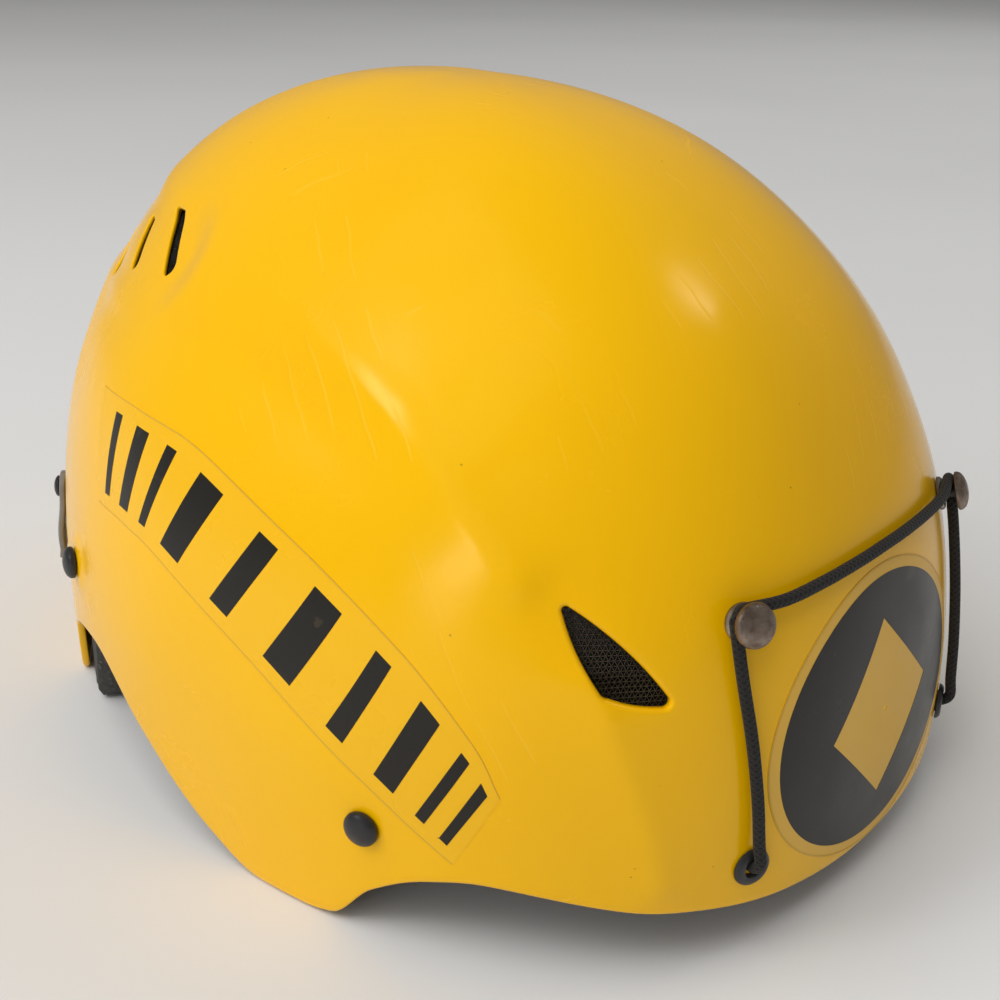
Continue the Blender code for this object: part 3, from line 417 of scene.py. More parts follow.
def metal_material(name, colour, roughness, worn):
    """Cast or plated metal with scratches that run several ways."""
    mat = new_material(name, colour, roughness, 1.0)
    n = Nodes(mat)
    tarnish = n.ramp(n.noise(330.0, 5.0, 0.5), [(0.38, 0.0), (0.68, 1.0)])
    tint = n.mix(tarnish, colour, worn)
    marks = n.noise(90.0, 6.0, 0.0, n.mapping(scale=(30.0, 3.0, 5.0), turn=(0.4, 0.9, 0.2)))
    cross = n.noise(120.0, 5.0, 0.0, n.mapping(scale=(3.0, 26.0, 4.0), turn=(0.9, 0.1, 1.2)))
    both = n.maths("ADD", marks, cross)
    rough = n.ramp(both, [(0.7, roughness - 0.08), (1.3, roughness + 0.22)])
    n.finish(tint, rough, n.bump(both, 0.30, 0.00010))
    return mat


def woven_material(name, colour, rib, across):
    """Flat woven strap; UV is in millimetres along and across the strap."""
    mat = new_material(name, colour, 0.82, sheen_weight=0.35, sheen_roughness=0.5)
    n = Nodes(mat)
    uv = n.mapping("UV")
    ribs = n.wave(rib, "X", uv, 0.6)
    picks = n.wave(across, "Y", uv, 0.3)
    weave = n.maths("MULTIPLY", ribs, picks)
    tint = n.mix(weave, tuple(c * 0.45 for c in colour), tuple(c * 1.6 + 0.008 for c in colour))
    fuzz = n.noise(2600.0, 2.0)
    n.finish(n.mix(n.maths("MULTIPLY", fuzz, 0.18), tint, (0.12, 0.12, 0.12)),
             None, n.bump(fuzz, 0.15, 0.0001, n.bump(weave, 0.8, 0.0003)))
    return mat


def braid_material():
    """Braided sleeve of an elastic cord; UV is millimetres along, and turns of the section."""
    mat = new_material("elastic_braid", (0.010, 0.010, 0.010), 0.85, sheen_weight=0.05, sheen_roughness=0.5)
    n = Nodes(mat)
    right = n.wave(0.42, "DIAGONAL", n.mapping("UV", (1.0, 7.0, 1.0)), 0.2)
    left = n.wave(0.42, "DIAGONAL", n.mapping("UV", (1.0, -7.0, 1.0)), 0.2)
    braid = n.maths("MAXIMUM", right, left)
    tint = n.mix(braid, (0.004, 0.004, 0.004), (0.018, 0.017, 0.016))
    n.finish(tint, None, n.bump(n.noise(3000.0, 2.0), 0.2, 0.00008, n.bump(braid, 0.9, 0.00025)))
    return mat


def knit_material():
    """Knitted cover of the comfort pads."""
    mat = new_material("pad_knit", (0.035, 0.036, 0.040), 0.95, sheen_weight=0.5, sheen_roughness=0.6)
    n = Nodes(mat)
    loops = n.cells(1150.0, randomness=0.25)
    tint = n.mix(n.ramp(loops, [(0.1, 1.0), (0.7, 0.0)]), (0.016, 0.016, 0.018), (0.075, 0.076, 0.083))
    tint = n.mix(n.ramp(n.noise(45.0, 4.0), [(0.4, 0.0), (0.8, 0.45)]), tint, (0.085, 0.083, 0.078))
    n.finish(tint, None, n.bump(loops, 0.7, -0.0004))
    return mat


def floor_material():
    mat = new_material("pale_table", (0.76, 0.765, 0.765), 0.55)
    n = Nodes(mat)
    n.finish(n.ramp(n.noise(2.2, 2.0), [(0.3, (0.750, 0.755, 0.755)), (0.7, (0.780, 0.785, 0.785))]))
    return mat


YELLOW = shell_material("shell_gloss", (0.95, 0.515, 0.0), (0.91, 0.480, 0.0), 0.17)
FILM = shell_material("decal_film", (0.92, 0.505, 0.008), (0.88, 0.475, 0.008), 0.24)
PALE_FILM = shell_material("front_film", (0.80, 0.470, 0.060), (0.76, 0.440, 0.060), 0.36)
EDGE = shell_material("film_edge", (0.66, 0.390, 0.040), (0.62, 0.360, 0.040), 0.40)
PRINT = print_material()
FOAM = foam_material()
BLACK = moulded_material("moulded", (0.017, 0.017, 0.018), 0.38)
NET = moulded_material("net", (0.040, 0.029, 0.014), 0.60)
GREY = moulded_material("clip", (0.20, 0.195, 0.185), 0.48)
PEWTER = metal_material("pewter", (0.34, 0.27, 0.22), 0.30, (0.17, 0.12, 0.09))
# A paler copy of the pewter for the stud's rim ring: its lighter metal is a painted highlight round the stud.
PAINTED_HIGHLIGHT_PEWTER = metal_material("rim_painted_highlight", (0.40, 0.36, 0.31), 0.30, (0.22, 0.19, 0.16))
STEEL = metal_material("zinc", (0.58, 0.58, 0.59), 0.34, (0.42, 0.42, 0.43))
CORD = braid_material()
WEB = woven_material("webbing", (0.020, 0.020, 0.022), 0.45, 0.62)
PAD = knit_material()
THREAD = moulded_material("thread", (0.050, 0.050, 0.052), 0.8)


# ---------------------------------------------------------------- mesh tools
def add_mesh(name, verts, faces, mat, uv=None, sharp=40.0):
    mesh = bpy.data.meshes.new(name)
    mesh.from_pydata([tuple(v) for v in np.asarray(verts, float)], [], faces)
    if uv is not None:
        layer = mesh.uv_layers.new(name="UVMap")
        corners = np.zeros(len(mesh.loops), np.int64)
        mesh.loops.foreach_get("vertex_index", corners)
        layer.data.foreach_set("uv", np.asarray(uv, np.float32)[corners].ravel())
    bm = bmesh.new()
    bm.from_mesh(mesh)
    bmesh.ops.recalc_face_normals(bm, faces=bm.faces)
    bm.to_mesh(mesh)
    bm.free()
    return add_object(name, mesh, mat, sharp)


def add_object(name, mesh, mat, sharp=40.0):
    mesh.shade_smooth()
    mesh.set_sharp_from_angle(angle=math.radians(sharp))
    if mat:
        mesh.materials.append(mat)
    made = bpy.data.objects.new(name, mesh)
    bpy.context.scene.collection.objects.link(made)
    return made


def grid_faces(rows, columns, wrap):
    """Quads of a grid whose points are listed row by row; wrap closes each row on itself."""
    width = columns if wrap else columns - 1
    i, j = np.meshgrid(np.arange(rows - 1), np.arange(width), indexing="ij")
    k = (j + 1) % columns
    quads = np.stack([i * columns + j, i * columns + k, (i + 1) * columns + k, (i + 1) * columns + j], -1)
    return quads.reshape(-1, 4).tolist()


def applied(obj):
    """The object with its modifiers made real."""
    bpy.context.view_layer.update()
    mesh = bpy.data.meshes.new_from_object(obj.evaluated_get(bpy.context.evaluated_depsgraph_get()))
    mesh.name = obj.name
    obj.modifiers.clear()
    obj.data = mesh
    return obj


def rounded(obj, width, segments=3, angle=30.0):
    bevel = obj.modifiers.new("rounding", "BEVEL")
    bevel.width = width
    bevel.segments = segments
    bevel.angle_limit = math.radians(angle)
    bevel.use_clamp_overlap = True
    made = applied(obj)
    shaded(made, 55)
    return made


def cut(target, *cutters, solver="EXACT"):
    for cutter in cutters:
        step = target.modifiers.new("cut", "BOOLEAN")
        step.operation = "DIFFERENCE"
        step.solver = solver
        step.object = cutter
    applied(target)
    for cutter in cutters:
        bpy.data.objects.remove(cutter, do_unlink=True)
    return target


def turned(name, profile, place, mat, steps=48, sharp=40.0):
    """A profile of (radius, height) points turned about Z; it closes on itself or on the axis."""
    profile = np.array(profile, float)
    angles = np.linspace(0, 2 * math.pi, steps, endpoint=False)
    on_axis = profile[:, 0] < 1e-9
    verts, rings = [], []
    for (radius, height), axial in zip(profile, on_axis):
        start = len(verts)
        count = 1 if axial else steps
        verts += [(radius * math.cos(a), radius * math.sin(a), height) for a in angles[:count]]
        rings.append(list(range(start, start + count)))
    pairs = list(zip(rings[:-1], rings[1:]))
    if not on_axis.any():
        pairs.append((rings[-1], rings[0]))
    faces = []
    for upper, lower in pairs:
        for k in range(steps):
            corner = [upper[k % len(upper)], upper[(k + 1) % len(upper)],
                      lower[(k + 1) % len(lower)], lower[k % len(lower)]]
            faces.append(list(dict.fromkeys(corner)))
    made = add_mesh(name, verts, [f for f in faces if len(f) > 2], mat, sharp=sharp)
    made.matrix_world = place
    return made


def shaded(obj, degrees):
    """Smooth shading, with edges sharper than that angle kept."""
    obj.data.shade_smooth()
    obj.data.set_sharp_from_angle(angle=math.radians(degrees))


def bore(name, radius, top, bottom, place, steps):
    """The cutter of a round hole along the frame's Z axis."""
    return turned(name, [(0, top), (radius, top), (radius, bottom), (0, bottom)], place, None, steps)


def prism(name, outline, low, high, place, mat=None):
    """A flat outline carried between two heights along the frame's Z axis."""
    count = len(outline)
    verts = [(x, y, z) for z in (low, high) for x, y in outline]
    faces = grid_faces(2, count, True) + [list(range(count)), list(range(count, 2 * count))]
    made = add_mesh(name, verts, faces, mat)
    made.matrix_world = place
    return made


def box(name, size, place, mat=None):
    x, y, z = (s / 2 for s in size)
    return prism(name, [(-x, -y), (x, -y), (x, y), (-x, y)], -z, z, place, mat)


def rounded_outline(corners, radii, steps=8):
    """The outline of a polygon with round corners."""
    outline = []
    for k, (corner, radius) in enumerate(zip(corners, radii)):
        here = np.array(corner)
        back = unit(np.array(corners[k - 1]) - here)
        ahead = unit(np.array(corners[(k + 1) % len(corners)]) - here)
        half = math.acos(np.clip(back @ ahead, -1, 1)) / 2
        centre = here + unit(back + ahead) * radius / math.sin(half)
        first = here + back * radius / math.tan(half) - centre
        last = here + ahead * radius / math.tan(half) - centre
        turn = math.atan2(first[0] * last[1] - first[1] * last[0], first @ last)
        for j in range(steps + 1):
            a = turn * j / steps
            outline.append(centre + (first[0] * math.cos(a) - first[1] * math.sin(a),
                                     first[0] * math.sin(a) + first[1] * math.cos(a)))
    return np.array(outline)


def reached(corners, radii):
    """Corners moved out so that the rounded ones pass through the places given."""
    moved = []
    for k, (corner, radius) in enumerate(zip(corners, radii)):
        here = np.array(corner)
        back, ahead = unit(corners[k - 1] - here), unit(corners[(k + 1) % len(corners)] - here)
        half = math.acos(np.clip(back @ ahead, -1, 1)) / 2
        moved.append(here - unit(back + ahead) * radius * (1 / math.sin(half) - 1))
    return moved


def respaced(outline, spacing, bulge=0.0):
    """A closed outline with even spacing; bulge bows its long sides outward by that share of their length."""
    ring = np.vstack([outline, outline[:1]])
    points = []
    centre = outline.mean(0)
    for start, end in zip(ring[:-1], ring[1:]):
        length = np.linalg.norm(end - start)
        out = np.array((end[1] - start[1], start[0] - end[0])) / max(length, 1e-9)
        out = out if out @ ((start + end) / 2 - centre) > 0 else -out
        parts = max(1, round(length / spacing))
        for k in range(parts):
            t = k / parts
            points.append(start + (end - start) * t + out * 4 * t * (1 - t) * bulge * length)
    return np.array(points)


def outward_steps(outline):
    """Unit normals of a closed outline, pointing out of it."""
    run = np.roll(outline, -1, 0) - np.roll(outline, 1, 0)
    out = unit(np.stack([run[:, 1], -run[:, 0]], -1))
    area = np.sum(outline[:, 0] * np.roll(outline[:, 1], -1) - outline[:, 1] * np.roll(outline[:, 0], -1))
    return out if area > 0 else -out


def section_box(thick, wide, radius, steps=4):
    """A strip's section as (out, side) corners, rounded."""
    x, y = thick / 2, wide / 2
    return rounded_outline([(-x, -y), (x, -y), (x, y), (-x, y)], [radius] * 4, steps)


def swept(name, points, outs, section, mat, scale=None, sharp=40.0):
    """A section of (out, side) corners carried along points, with both ends filled; UV in millimetres."""
    points, outs = np.array(points, float), np.array(outs, float)
    run = unit(np.gradient(points, axis=0))
    side = unit(np.cross(outs, run))
    out = unit(np.cross(run, side))
    section = np.asarray(section, float)
    sections = np.broadcast_to(section, (len(points), *section.shape)) if scale is None else scale
    verts = points[:, None] + out[:, None] * sections[..., :1] + side[:, None] * sections[..., 1:]
    count = len(section)
    faces = grid_faces(len(points), count, True)
    faces += [list(range(count)), list(range((len(points) - 1) * count, len(points) * count))]
    along = np.concatenate([[0], np.cumsum(np.linalg.norm(np.diff(points, axis=0), axis=1))]) * 1000
    around = sections[..., 1] * 1000
    uv = np.stack([np.broadcast_to(along[:, None], around.shape), around], -1).reshape(-1, 2)
    return add_mesh(name, verts.reshape(-1, 3), faces, mat, uv, sharp)


def tube(name, points, radius, mat, sides=20):
    """A round cord whose radius may vary along it; UV is millimetres along and turns round."""
    points = np.array(points, float)
    run = unit(np.gradient(points, axis=0))
    out = [unit(np.cross(run[0], (0.3, 0.2, 0.9)))]
    for k in range(1, len(points)):
        out.append(unit(out[-1] - run[k] * (out[-1] @ run[k])))
    out = np.array(out)
    side = np.cross(run, out)
    angles = np.linspace(0, 2 * math.pi, sides + 1)
    radius = np.broadcast_to(radius, len(points))[:, None, None]
    spokes = out[:, None] * np.cos(angles)[:, None] + side[:, None] * np.sin(angles)[:, None]
    verts = points[:, None] + radius * spokes
    along = np.concatenate([[0], np.cumsum(np.linalg.norm(np.diff(points, axis=0), axis=1))]) * 1000
    uv = np.stack(np.meshgrid(along, angles / (2 * math.pi), indexing="ij"), -1)
    faces = grid_faces(len(points), sides + 1, False)
    last = (len(points) - 1) * (sides + 1)
    faces += [list(range(sides)), list(range(last, last + sides))]
    made = add_mesh(name, verts.reshape(-1, 3), faces, mat, uv.reshape(-1, 2), sharp=60)
    weld = made.modifiers.new("seam", "WELD")
    weld.merge_threshold = 1e-6
    return applied(made)


def thin_patch(name, top, bottom, mat):
    """A closed thin piece between two grids of points of the same size."""
    rows, columns = top.shape[:2]
    size = rows * columns
    faces = grid_faces(rows, columns, False)
    faces += [[c + size for c in f] for f in faces]
    edge = [(0, j) for j in range(columns)] + [(i, columns - 1) for i in range(1, rows)]
    edge += [(rows - 1, j) for j in range(columns - 2, -1, -1)] + [(i, 0) for i in range(rows - 2, 0, -1)]
    ring = [i * columns + j for i, j in edge]
    faces += [[a, b, b + size, a + size] for a, b in zip(ring, ring[1:] + ring[:1])]
    return add_mesh(name, np.concatenate([top.reshape(-1, 3), bottom.reshape(-1, 3)]), faces, mat)


def stitches(name, points, outs, mat, length=0.0022, pitch=0.0034, radius=0.00022):
    """A row of short sewn threads that lie on a line of points."""
    points, outs = np.array(points, float), np.array(outs, float)
    along = np.concatenate([[0], np.cumsum(np.linalg.norm(np.diff(points, axis=0), axis=1))])
    verts, faces = [], []
    for start in np.arange(0.0005, along[-1] - length, pitch):
        place = [np.interp(start + length * t, along, points[:, k]) for t in (0, .5, 1) for k in range(3)]
        first, middle, last = np.array(place).reshape(3, 3)
        out = unit([np.interp(start + length / 2, along, outs[:, k]) for k in range(3)])
        run = unit(last - first)
        side = np.cross(out, run)
        base = len(verts)
        for at, size, lift in ((first, 0.35, -0.6), (first * 0.7 + middle * 0.3, 1, 0.35), (middle, 1.1, 0.6),
                               (last * 0.7 + middle * 0.3, 1, 0.35), (last, 0.35, -0.6)):
            for a in np.arange(0, 2 * math.pi, math.pi / 3):
                verts.append(at + radius * (out * (lift + size * math.sin(a)) + side * size * math.cos(a)))
        faces += [[base + c for c in f] for f in grid_faces(5, 6, True)]
        faces += [[base + k for k in range(6)], [base + 24 + k for k in range(6)]]
    return add_mesh(name, verts, faces, mat)


def fit(obj, body, slot, *nodes):
    """The piece rides on a body and stands for CAD nodes. The slot argument is not used."""
    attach(obj, body)
    if nodes:
        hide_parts(*nodes)
    return obj


# ---------------------------------------------------------------- openings in the shell
def on_plane(place, flat, lift=0.0):
    """Points of the moulded shell under (x, y) points of a frame's plane, with their normals."""
    inverse = np.array(place.inverted())
    origin = np.array(place.translation)
    flat = np.asarray(flat, float)
    degrees = np.full(flat.shape[:-1], math.degrees(math.atan2(-origin[0], CENTRE_Y - origin[1])))
    height = np.full(flat.shape[:-1], origin[2])

    def seen(d, h):
        points, normals = surface(d, h)
        return (points @ inverse[:3, :3].T + inverse[:3, 3])[..., :2], points, normals

    for _ in range(7):
        here, points, normals = seen(degrees, height)
        by_angle = (seen(degrees + 0.2, height)[0] - here) / 0.2
        by_height = (seen(degrees, height + 0.0005)[0] - here) / 0.0005
        miss = flat - here
        det = by_angle[..., 0] * by_height[..., 1] - by_angle[..., 1] * by_height[..., 0]
        degrees = degrees + (miss[..., 0] * by_height[..., 1] - miss[..., 1] * by_height[..., 0]) / det
        height = height + (miss[..., 1] * by_angle[..., 0] - miss[..., 0] * by_angle[..., 1]) / det
    _, points, normals = seen(degrees, height)
    return points + normals * lift, normals


def rolled_edge(name, outline, place, side, roll, collar, deep=SHELL_WALL):
    """The shell's edge round an opening, rolled inwards; it fills the wider hole that the shell leaves."""
    out = outward_steps(outline)
    steps = [(collar, 0.0)] + [(collar - (collar - roll) * k / 3, 0.0) for k in range(1, 3)]
    for k in range(9):
        a = math.pi / 2 * k / 8
        steps.append((roll * (1 - math.sin(a)), roll * (1 - math.cos(a))))
    steps += [(0.0, deep - 0.0002), (0.0002, deep), (collar, deep)]
    rings = []
    for distance, depth in steps:
        points, normals = on_plane(place, outline + out * distance)
        rings.append(sided(points - normals * depth, side))
    rings.append(rings[0])
    verts = np.concatenate(rings[:-1])
    count = len(outline)
    faces = grid_faces(len(steps), count, True)
    last = (len(steps) - 1) * count
    faces += [[last + k, last + (k + 1) % count, (k + 1) % count, k] for k in range(count)]
    return fit(add_mesh(name, verts, faces, YELLOW, sharp=50), "shell", "shell_yellow")


def vent_outline():
    middle = [sum(c) / 3 for c in zip(*VENT)]
    place = shell_frame(*middle)
    inverse = np.array(place.inverted())
    flat = [(inverse @ np.append(surface(*corner)[0], 1))[:2] for corner in VENT]
    radii = (0.0009, 0.0030, 0.0014)
    outline = rounded_outline(reached(flat, radii), radii)
    return place, respaced(outline, 0.0005, 0.045)


def slot_outline(ends):
    upper, lower = (surface(*end)[0] for end in ends)
    point, out = surface((ends[0][0] + ends[1][0]) / 2, (ends[0][1] + ends[1][1]) / 2)
    along = unit(lower - upper)
    across = unit(np.cross(out, along))
    place = frame_of(along, across, np.cross(along, across), point)
    half, wide = np.linalg.norm(lower - upper) / 2, REAR_SLOT_WIDTH / 2
    corners = [(half, -wide), (half, wide), (-half + 0.0035, wide), (-half - 0.0008, -wide * 0.75)]
    return place, respaced(rounded_outline(corners, (0.0022, 0.0022, 0.0009, 0.0006)), 0.0006)


def opening_cutter(name, outline, place, side, grow, low, high):
    flat = outline + outward_steps(outline) * grow
    if side < 0:
        place, flat = mirrored(place), (flat * (-1, 1))[::-1]
    return prism(name, [tuple(p) for p in flat], low, high, place)


# ---------------------------------------------------------------- shell
def dome_columns(fine):
    """Angles all the way round, closer together inside the (from, to, step) ranges given."""
    half, at = [0.0], 0.0
    while at < 180:
        step = min([s for low, high, s in fine if low <= at < high] or [1.3])
        at = min(at + step, 180.0)
        half.append(at)
    return np.array([-a for a in half[:0:-1]] + half[:-1])


def dome_grid(rim, inset, columns, rows, lift=None):
    """Rows of points from the rim, the rim's own height excepted, up to just below the crown."""
    low = rim_height(rim, columns)[None]
    t = np.sin(np.asarray(rows)[:, None] * math.pi / 2)
    height = low + (CROWN_HEIGHT - inset - low) * t
    points = base_point(np.broadcast_to(columns, height.shape), height, inset)
    return points if lift is None else raised(points, lift(points))


def raised(points, lift):
    """A dome grid with each point moved along the surface's normal."""
    around = np.roll(points, -1, 1) - np.roll(points, 1, 1)
    normal = unit(np.cross(np.gradient(points, axis=0), around))
    outward = normal[0, 0] @ (points[0, 0] - (0, CENTRE_Y, points[0, 0][2])) > 0
    return points + (normal if outward else -normal) * lift[..., None]


def dome_mesh(name, outer, inner, edge_rows, mat, lift_top=0.0):
    """Outer and inner dome grids, rim first, joined round a rounded edge and closed at the crown."""
    edge = []
    for k in range(1, edge_rows):
        a = math.pi * k / edge_rows
        middle, arm = (outer[0] + inner[0]) / 2, (outer[0] - inner[0]) / 2
        drop = np.linalg.norm(arm, axis=1, keepdims=True) * (0, 0, 1)
        edge.append(middle + arm * math.cos(a) - drop * math.sin(a))
    grid = np.concatenate([outer[::-1], np.array(edge).reshape(-1, *outer.shape[1:]), inner])
    rows, columns = grid.shape[:2]
    top = np.array([(0, CENTRE_Y, CROWN_HEIGHT + lift_top)])
    under = grid[-1].mean(0, keepdims=True)
    under[0, 2] = grid[-1][:, 2].max() + 0.00005
    verts = np.concatenate([grid.reshape(-1, 3), top, under])
    faces = grid_faces(rows, columns, True)
    last = (rows - 1) * columns
    for k in range(columns):
        faces.append([rows * columns, k, (k + 1) % columns])
        faces.append([rows * columns + 1, last + k, last + (k + 1) % columns])
    return add_mesh(name, verts, faces, mat, sharp=50)


def build_shell():
    columns = dome_columns([(24, 42, 0.7), (108, 154, 0.9), (56, 63, 0.7), (132, 138, 0.5)])
    rows = np.linspace(0.0, 0.992, 132)
    radius = SHELL_WALL / 2
    rim = [(at, height + radius) for at, height in RIM]
    outer = dome_grid(rim, 0.0, columns, rows, relief)
    inner = dome_grid(rim, SHELL_WALL, columns, np.linspace(0.0, 0.985, 34), relief)
    crown = np.array([(0.0, CENTRE_Y, CROWN_HEIGHT)])
    shell = dome_mesh("shell_skin", outer, inner, 8, YELLOW, float(relief(crown)[0]))
    cutters = []
    for word, side in SIDES:
        place, outline = vent_outline()
        cutters.append(opening_cutter("cut_vent_" + word, outline, place, side, 0.0036, -0.012, 0.012))
        rolled_edge("vent_edge_" + word, outline, place, side, 0.0010, 0.0036)
        for k, ends in enumerate(REAR_SLOTS):
            place, outline = slot_outline(ends)
            cutters.append(opening_cutter(f"cut_slot_{word}_{k}", outline, place, side, 0.0016, -0.006,
                                          0.006))
            rolled_edge(f"slot_edge_{word}_{k + 1}", outline, place, side, 0.0005, 0.0016, 0.0011)
    cut(shell, *cutters, solver="MANIFOLD")
    shaded(shell, 50)
    return fit(shell, "shell", "shell_yellow", "outer_shell")


def build_liner():
    columns = dome_columns([(128, 142, 0.8)])
    rows = np.linspace(0.0, 0.99, 64)

    def rough(points):
        x, y, z = points[..., 0], points[..., 1], points[..., 2]
        near_edge = np.exp(-np.maximum(z - 0.004, 0) / 0.012)
        lumps = np.sin(x * 900 + y * 400) * np.sin(y * 1100 - z * 500) + np.sin(x * 1700 + z * 1300)
        return 0.00012 * lumps * near_edge

    rim = [(at, height + 0.0022) for at, height in LINER_RIM]
    outer = dome_grid(rim, LINER_OUTER, columns, rows, rough)
    inner = dome_grid(rim, LINER_INNER, columns, rows[::2], rough)
    flat = [outer[0].copy(), inner[0].copy()]
    for ring, outward in zip(flat, (-FOAM_CHAMFER, FOAM_CHAMFER)):
        ring[:, 2] -= 0.0020
        ring[:, :2] += unit(ring[:, :2] - (0, CENTRE_Y)) * outward
    grid_outer = np.concatenate([flat[0][None], outer])
    grid_inner = np.concatenate([flat[1][None], inner])
    liner = dome_mesh("liner_foam", grid_outer, grid_inner, 1, FOAM, -LINER_OUTER)
    cutters = []
    for word, side in SIDES:
        place, outline = vent_outline()
        cutters.append(opening_cutter("cut_liner_vent_" + word, outline, place, side, 0.0010, -0.034, 0.006))
        for k, ends in enumerate(REAR_SLOTS):
            place, outline = slot_outline(ends)
            cutters.append(opening_cutter(f"cut_liner_slot_{word}_{k}", outline, place, side, 0.0004, -0.030,
                                          0.006))
    cut(liner, *cutters, solver="MANIFOLD")
    shaded(liner, 40)
    return fit(liner, "shell", "foam_dark", "foam_liner")


def build_vent_nets():
    """A fine moulded net behind each side vent: two crossed sets of strands round open diamonds."""
    for word, side in SIDES:
        place, outline = vent_outline()
        low, high = outline.min(0) - 0.0016, outline.max(0) + 0.0016
        pitch, thick = 0.0013, 0.00040
        net = bpy.data.meshes.new("net_grid")
        bm = bmesh.new()
        columns, rows = (int((high - low)[k] / pitch) + 2 for k in range(2))
        i, j = np.meshgrid(np.arange(columns), np.arange(rows), indexing="ij")
        flat = low + np.stack([i * pitch + np.where(j % 2, pitch / 2, 0), j * pitch * 0.87], -1)
        points = sided(on_plane(place, flat, -0.0036)[0], side)
        corners = {(i, j): bm.verts.new(points[i, j]) for i in range(columns) for j in range(rows)}
        for i in range(columns - 1):
            for j in range(rows - 1):
                a, b = corners[i, j], corners[i + 1, j]
                c, d = corners[i + 1, j + 1], corners[i, j + 1]
                if j % 2:
                    bm.faces.new((a, b, c))
                    bm.faces.new((a, c, d))
                else:
                    bm.faces.new((a, b, d))
                    bm.faces.new((b, c, d))
        bm.to_mesh(net)
        bm.free()
        made = add_object("vent_net_" + word, net, NET)
        wire = made.modifiers.new("strands", "WIREFRAME")
        wire.thickness = thick
        wire.use_even_offset = False
        wire.use_boundary = True
        applied(made)
        fit(made, "shell", "vent_mesh_black", "vent_mesh_" + word)


# ---------------------------------------------------------------- decals
BAND_UPPER = smooth_path([(118, 101.5), (103, 102.3), (87, 100.5), (67, 89), (54, 74), (46.5, 57.5),
                          (43.6, 45)], 60)
BAND_LOWER = smooth_path([(110, 76), (101, 75.8), (91, 73), (73, 60), (59, 43), (51.5, 31.5), (48, 26)], 60)


def band_place(s, t, lift):
    """A point of the side band: s runs from its rear to its front end, t from its upper to its lower edge."""
    share = np.linspace(0, 1, len(BAND_UPPER))
    upper = [np.interp(s, share, BAND_UPPER[:, k]) for k in range(2)]
    lower = [np.interp(s, share, BAND_LOWER[:, k]) for k in range(2)]
    degrees, height = (upper[k] * (1 - t) + lower[k] * t for k in range(2))
    return surface(degrees, height / 1000, lift)[0]


def decal(name, side, degrees_of, lift, mat):
    """A thin piece laid on the shell; degrees_of(lift) gives its grid of points."""
    patch = thin_patch(name, sided(degrees_of(lift), side), sided(degrees_of(-0.0003), side), mat)
    return fit(patch, "shell", "moulded_black" if mat is PRINT else "shell_yellow")


def build_side_decals():
    """A clear band with a row of plain slanted bars."""
    bars, film, ink = 10, 0.00010, 0.00016
    for word, side in SIDES:
        t, s = np.meshgrid(np.linspace(0, 1, 24), np.linspace(0, 1, 110), indexing="ij")
        decal("side_film_" + word, side, lambda lift: band_place(s, t, lift), film, FILM)
        v, u = np.meshgrid(np.linspace(0, 0.010, 3), np.linspace(0, 1, 110), indexing="ij")
        for edge, at in (("upper", v), ("lower", 1 - v)):
            decal(f"side_{edge}_edge_{word}", side, lambda lift: band_place(u, at, lift), 0.00013, EDGE)
        for k in range(bars):
            middle = 0.075 + 0.85 * k / (bars - 1)
            half = 0.014 + 0.008 * (k % 2)
            tall, wide = np.meshgrid(np.linspace(0.13, 0.87, 18), np.linspace(-1, 1, 7), indexing="ij")
            lean = middle + half * wide + 0.035 * (0.5 - tall)
            decal(f"side_bar_{word}_{k + 1}", side, lambda lift: band_place(lean, tall, lift), ink, PRINT)


def build_front_decal():
    """A plain dark oval ring round an open lozenge."""
    wide, tall, middle = 17.0, 32.5, 45.0
    film, ink = 0.00010, 0.00016

    def oval(radius, angle, lift):
        degrees = wide * radius * np.sin(angle)
        height = (middle + tall * radius * np.cos(angle)) / 1000
        return surface(degrees, height, lift)[0]

    angles = np.linspace(0, 2 * math.pi, 121)
    lozenge = 0.56 / (np.abs(np.sin(angles)) + np.abs(np.cos(angles)) * 0.8) ** 1.0
    full = np.ones(121)
    for name, inner, outer, lift, mat in (("front_film", full * 0.02, full * 1.075, film, PALE_FILM),
                                          ("front_edge", full * 1.073, full * 1.085, ink, EDGE),
                                          ("front_mark", lozenge, full, ink, PRINT)):
        share = np.linspace(0, 1, 16)[:, None]
        radius = inner * (1 - share) + outer * share
        grid = [oval(radius, angles[None], at) for at in (lift, -0.0003)]
        patch = thin_patch(name, grid[0], grid[1], mat)
        weld = patch.modifiers.new("seam", "WELD")
        weld.merge_threshold = 1e-6
        applied(patch)
        fit(patch, "shell", "moulded_black" if mat is PRINT else "shell_yellow")


# ---------------------------------------------------------------- rivets, studs, cord and clips
def build_rivets():
    end = LINER_INNER + 0.0048
    for word, side in SIDES:
        for where, (at, height) in RIVETS.items():
            place = shell_frame(at, height, side)
            dome = [(0.0043 * math.sin(a), 0.0010 + 0.0021 * math.cos(a))
                    for a in np.linspace(0, math.pi / 2, 10)]
            profile = dome + [(0.0043, 0.0006), (0.0041, 0.0003), (0.0021, 0.0003), (0.0021, -end + 0.0006),
                              (0.0027, -end + 0.0003), (0.0025, -end), (0, -end)]
            fit(turned(f"rivet_{where}_{word}", profile, place, BLACK), "shell", "moulded_black",
                f"harness_rivet_{where}_{word}")
            inner = LINER_INNER + 0.0031
            ring = [(0.0058, -inner), (0.0057, -inner - 0.0006), (0.0050, -inner - 0.0008),
                    (0.0028, -inner - 0.0008), (0.0025, -inner - 0.0006), (0.0025, -inner)]
            fit(turned(f"washer_{where}_{word}", ring, place, STEEL), "shell", "steel_zinc",
                f"rivet_washer_{where}_{word}")


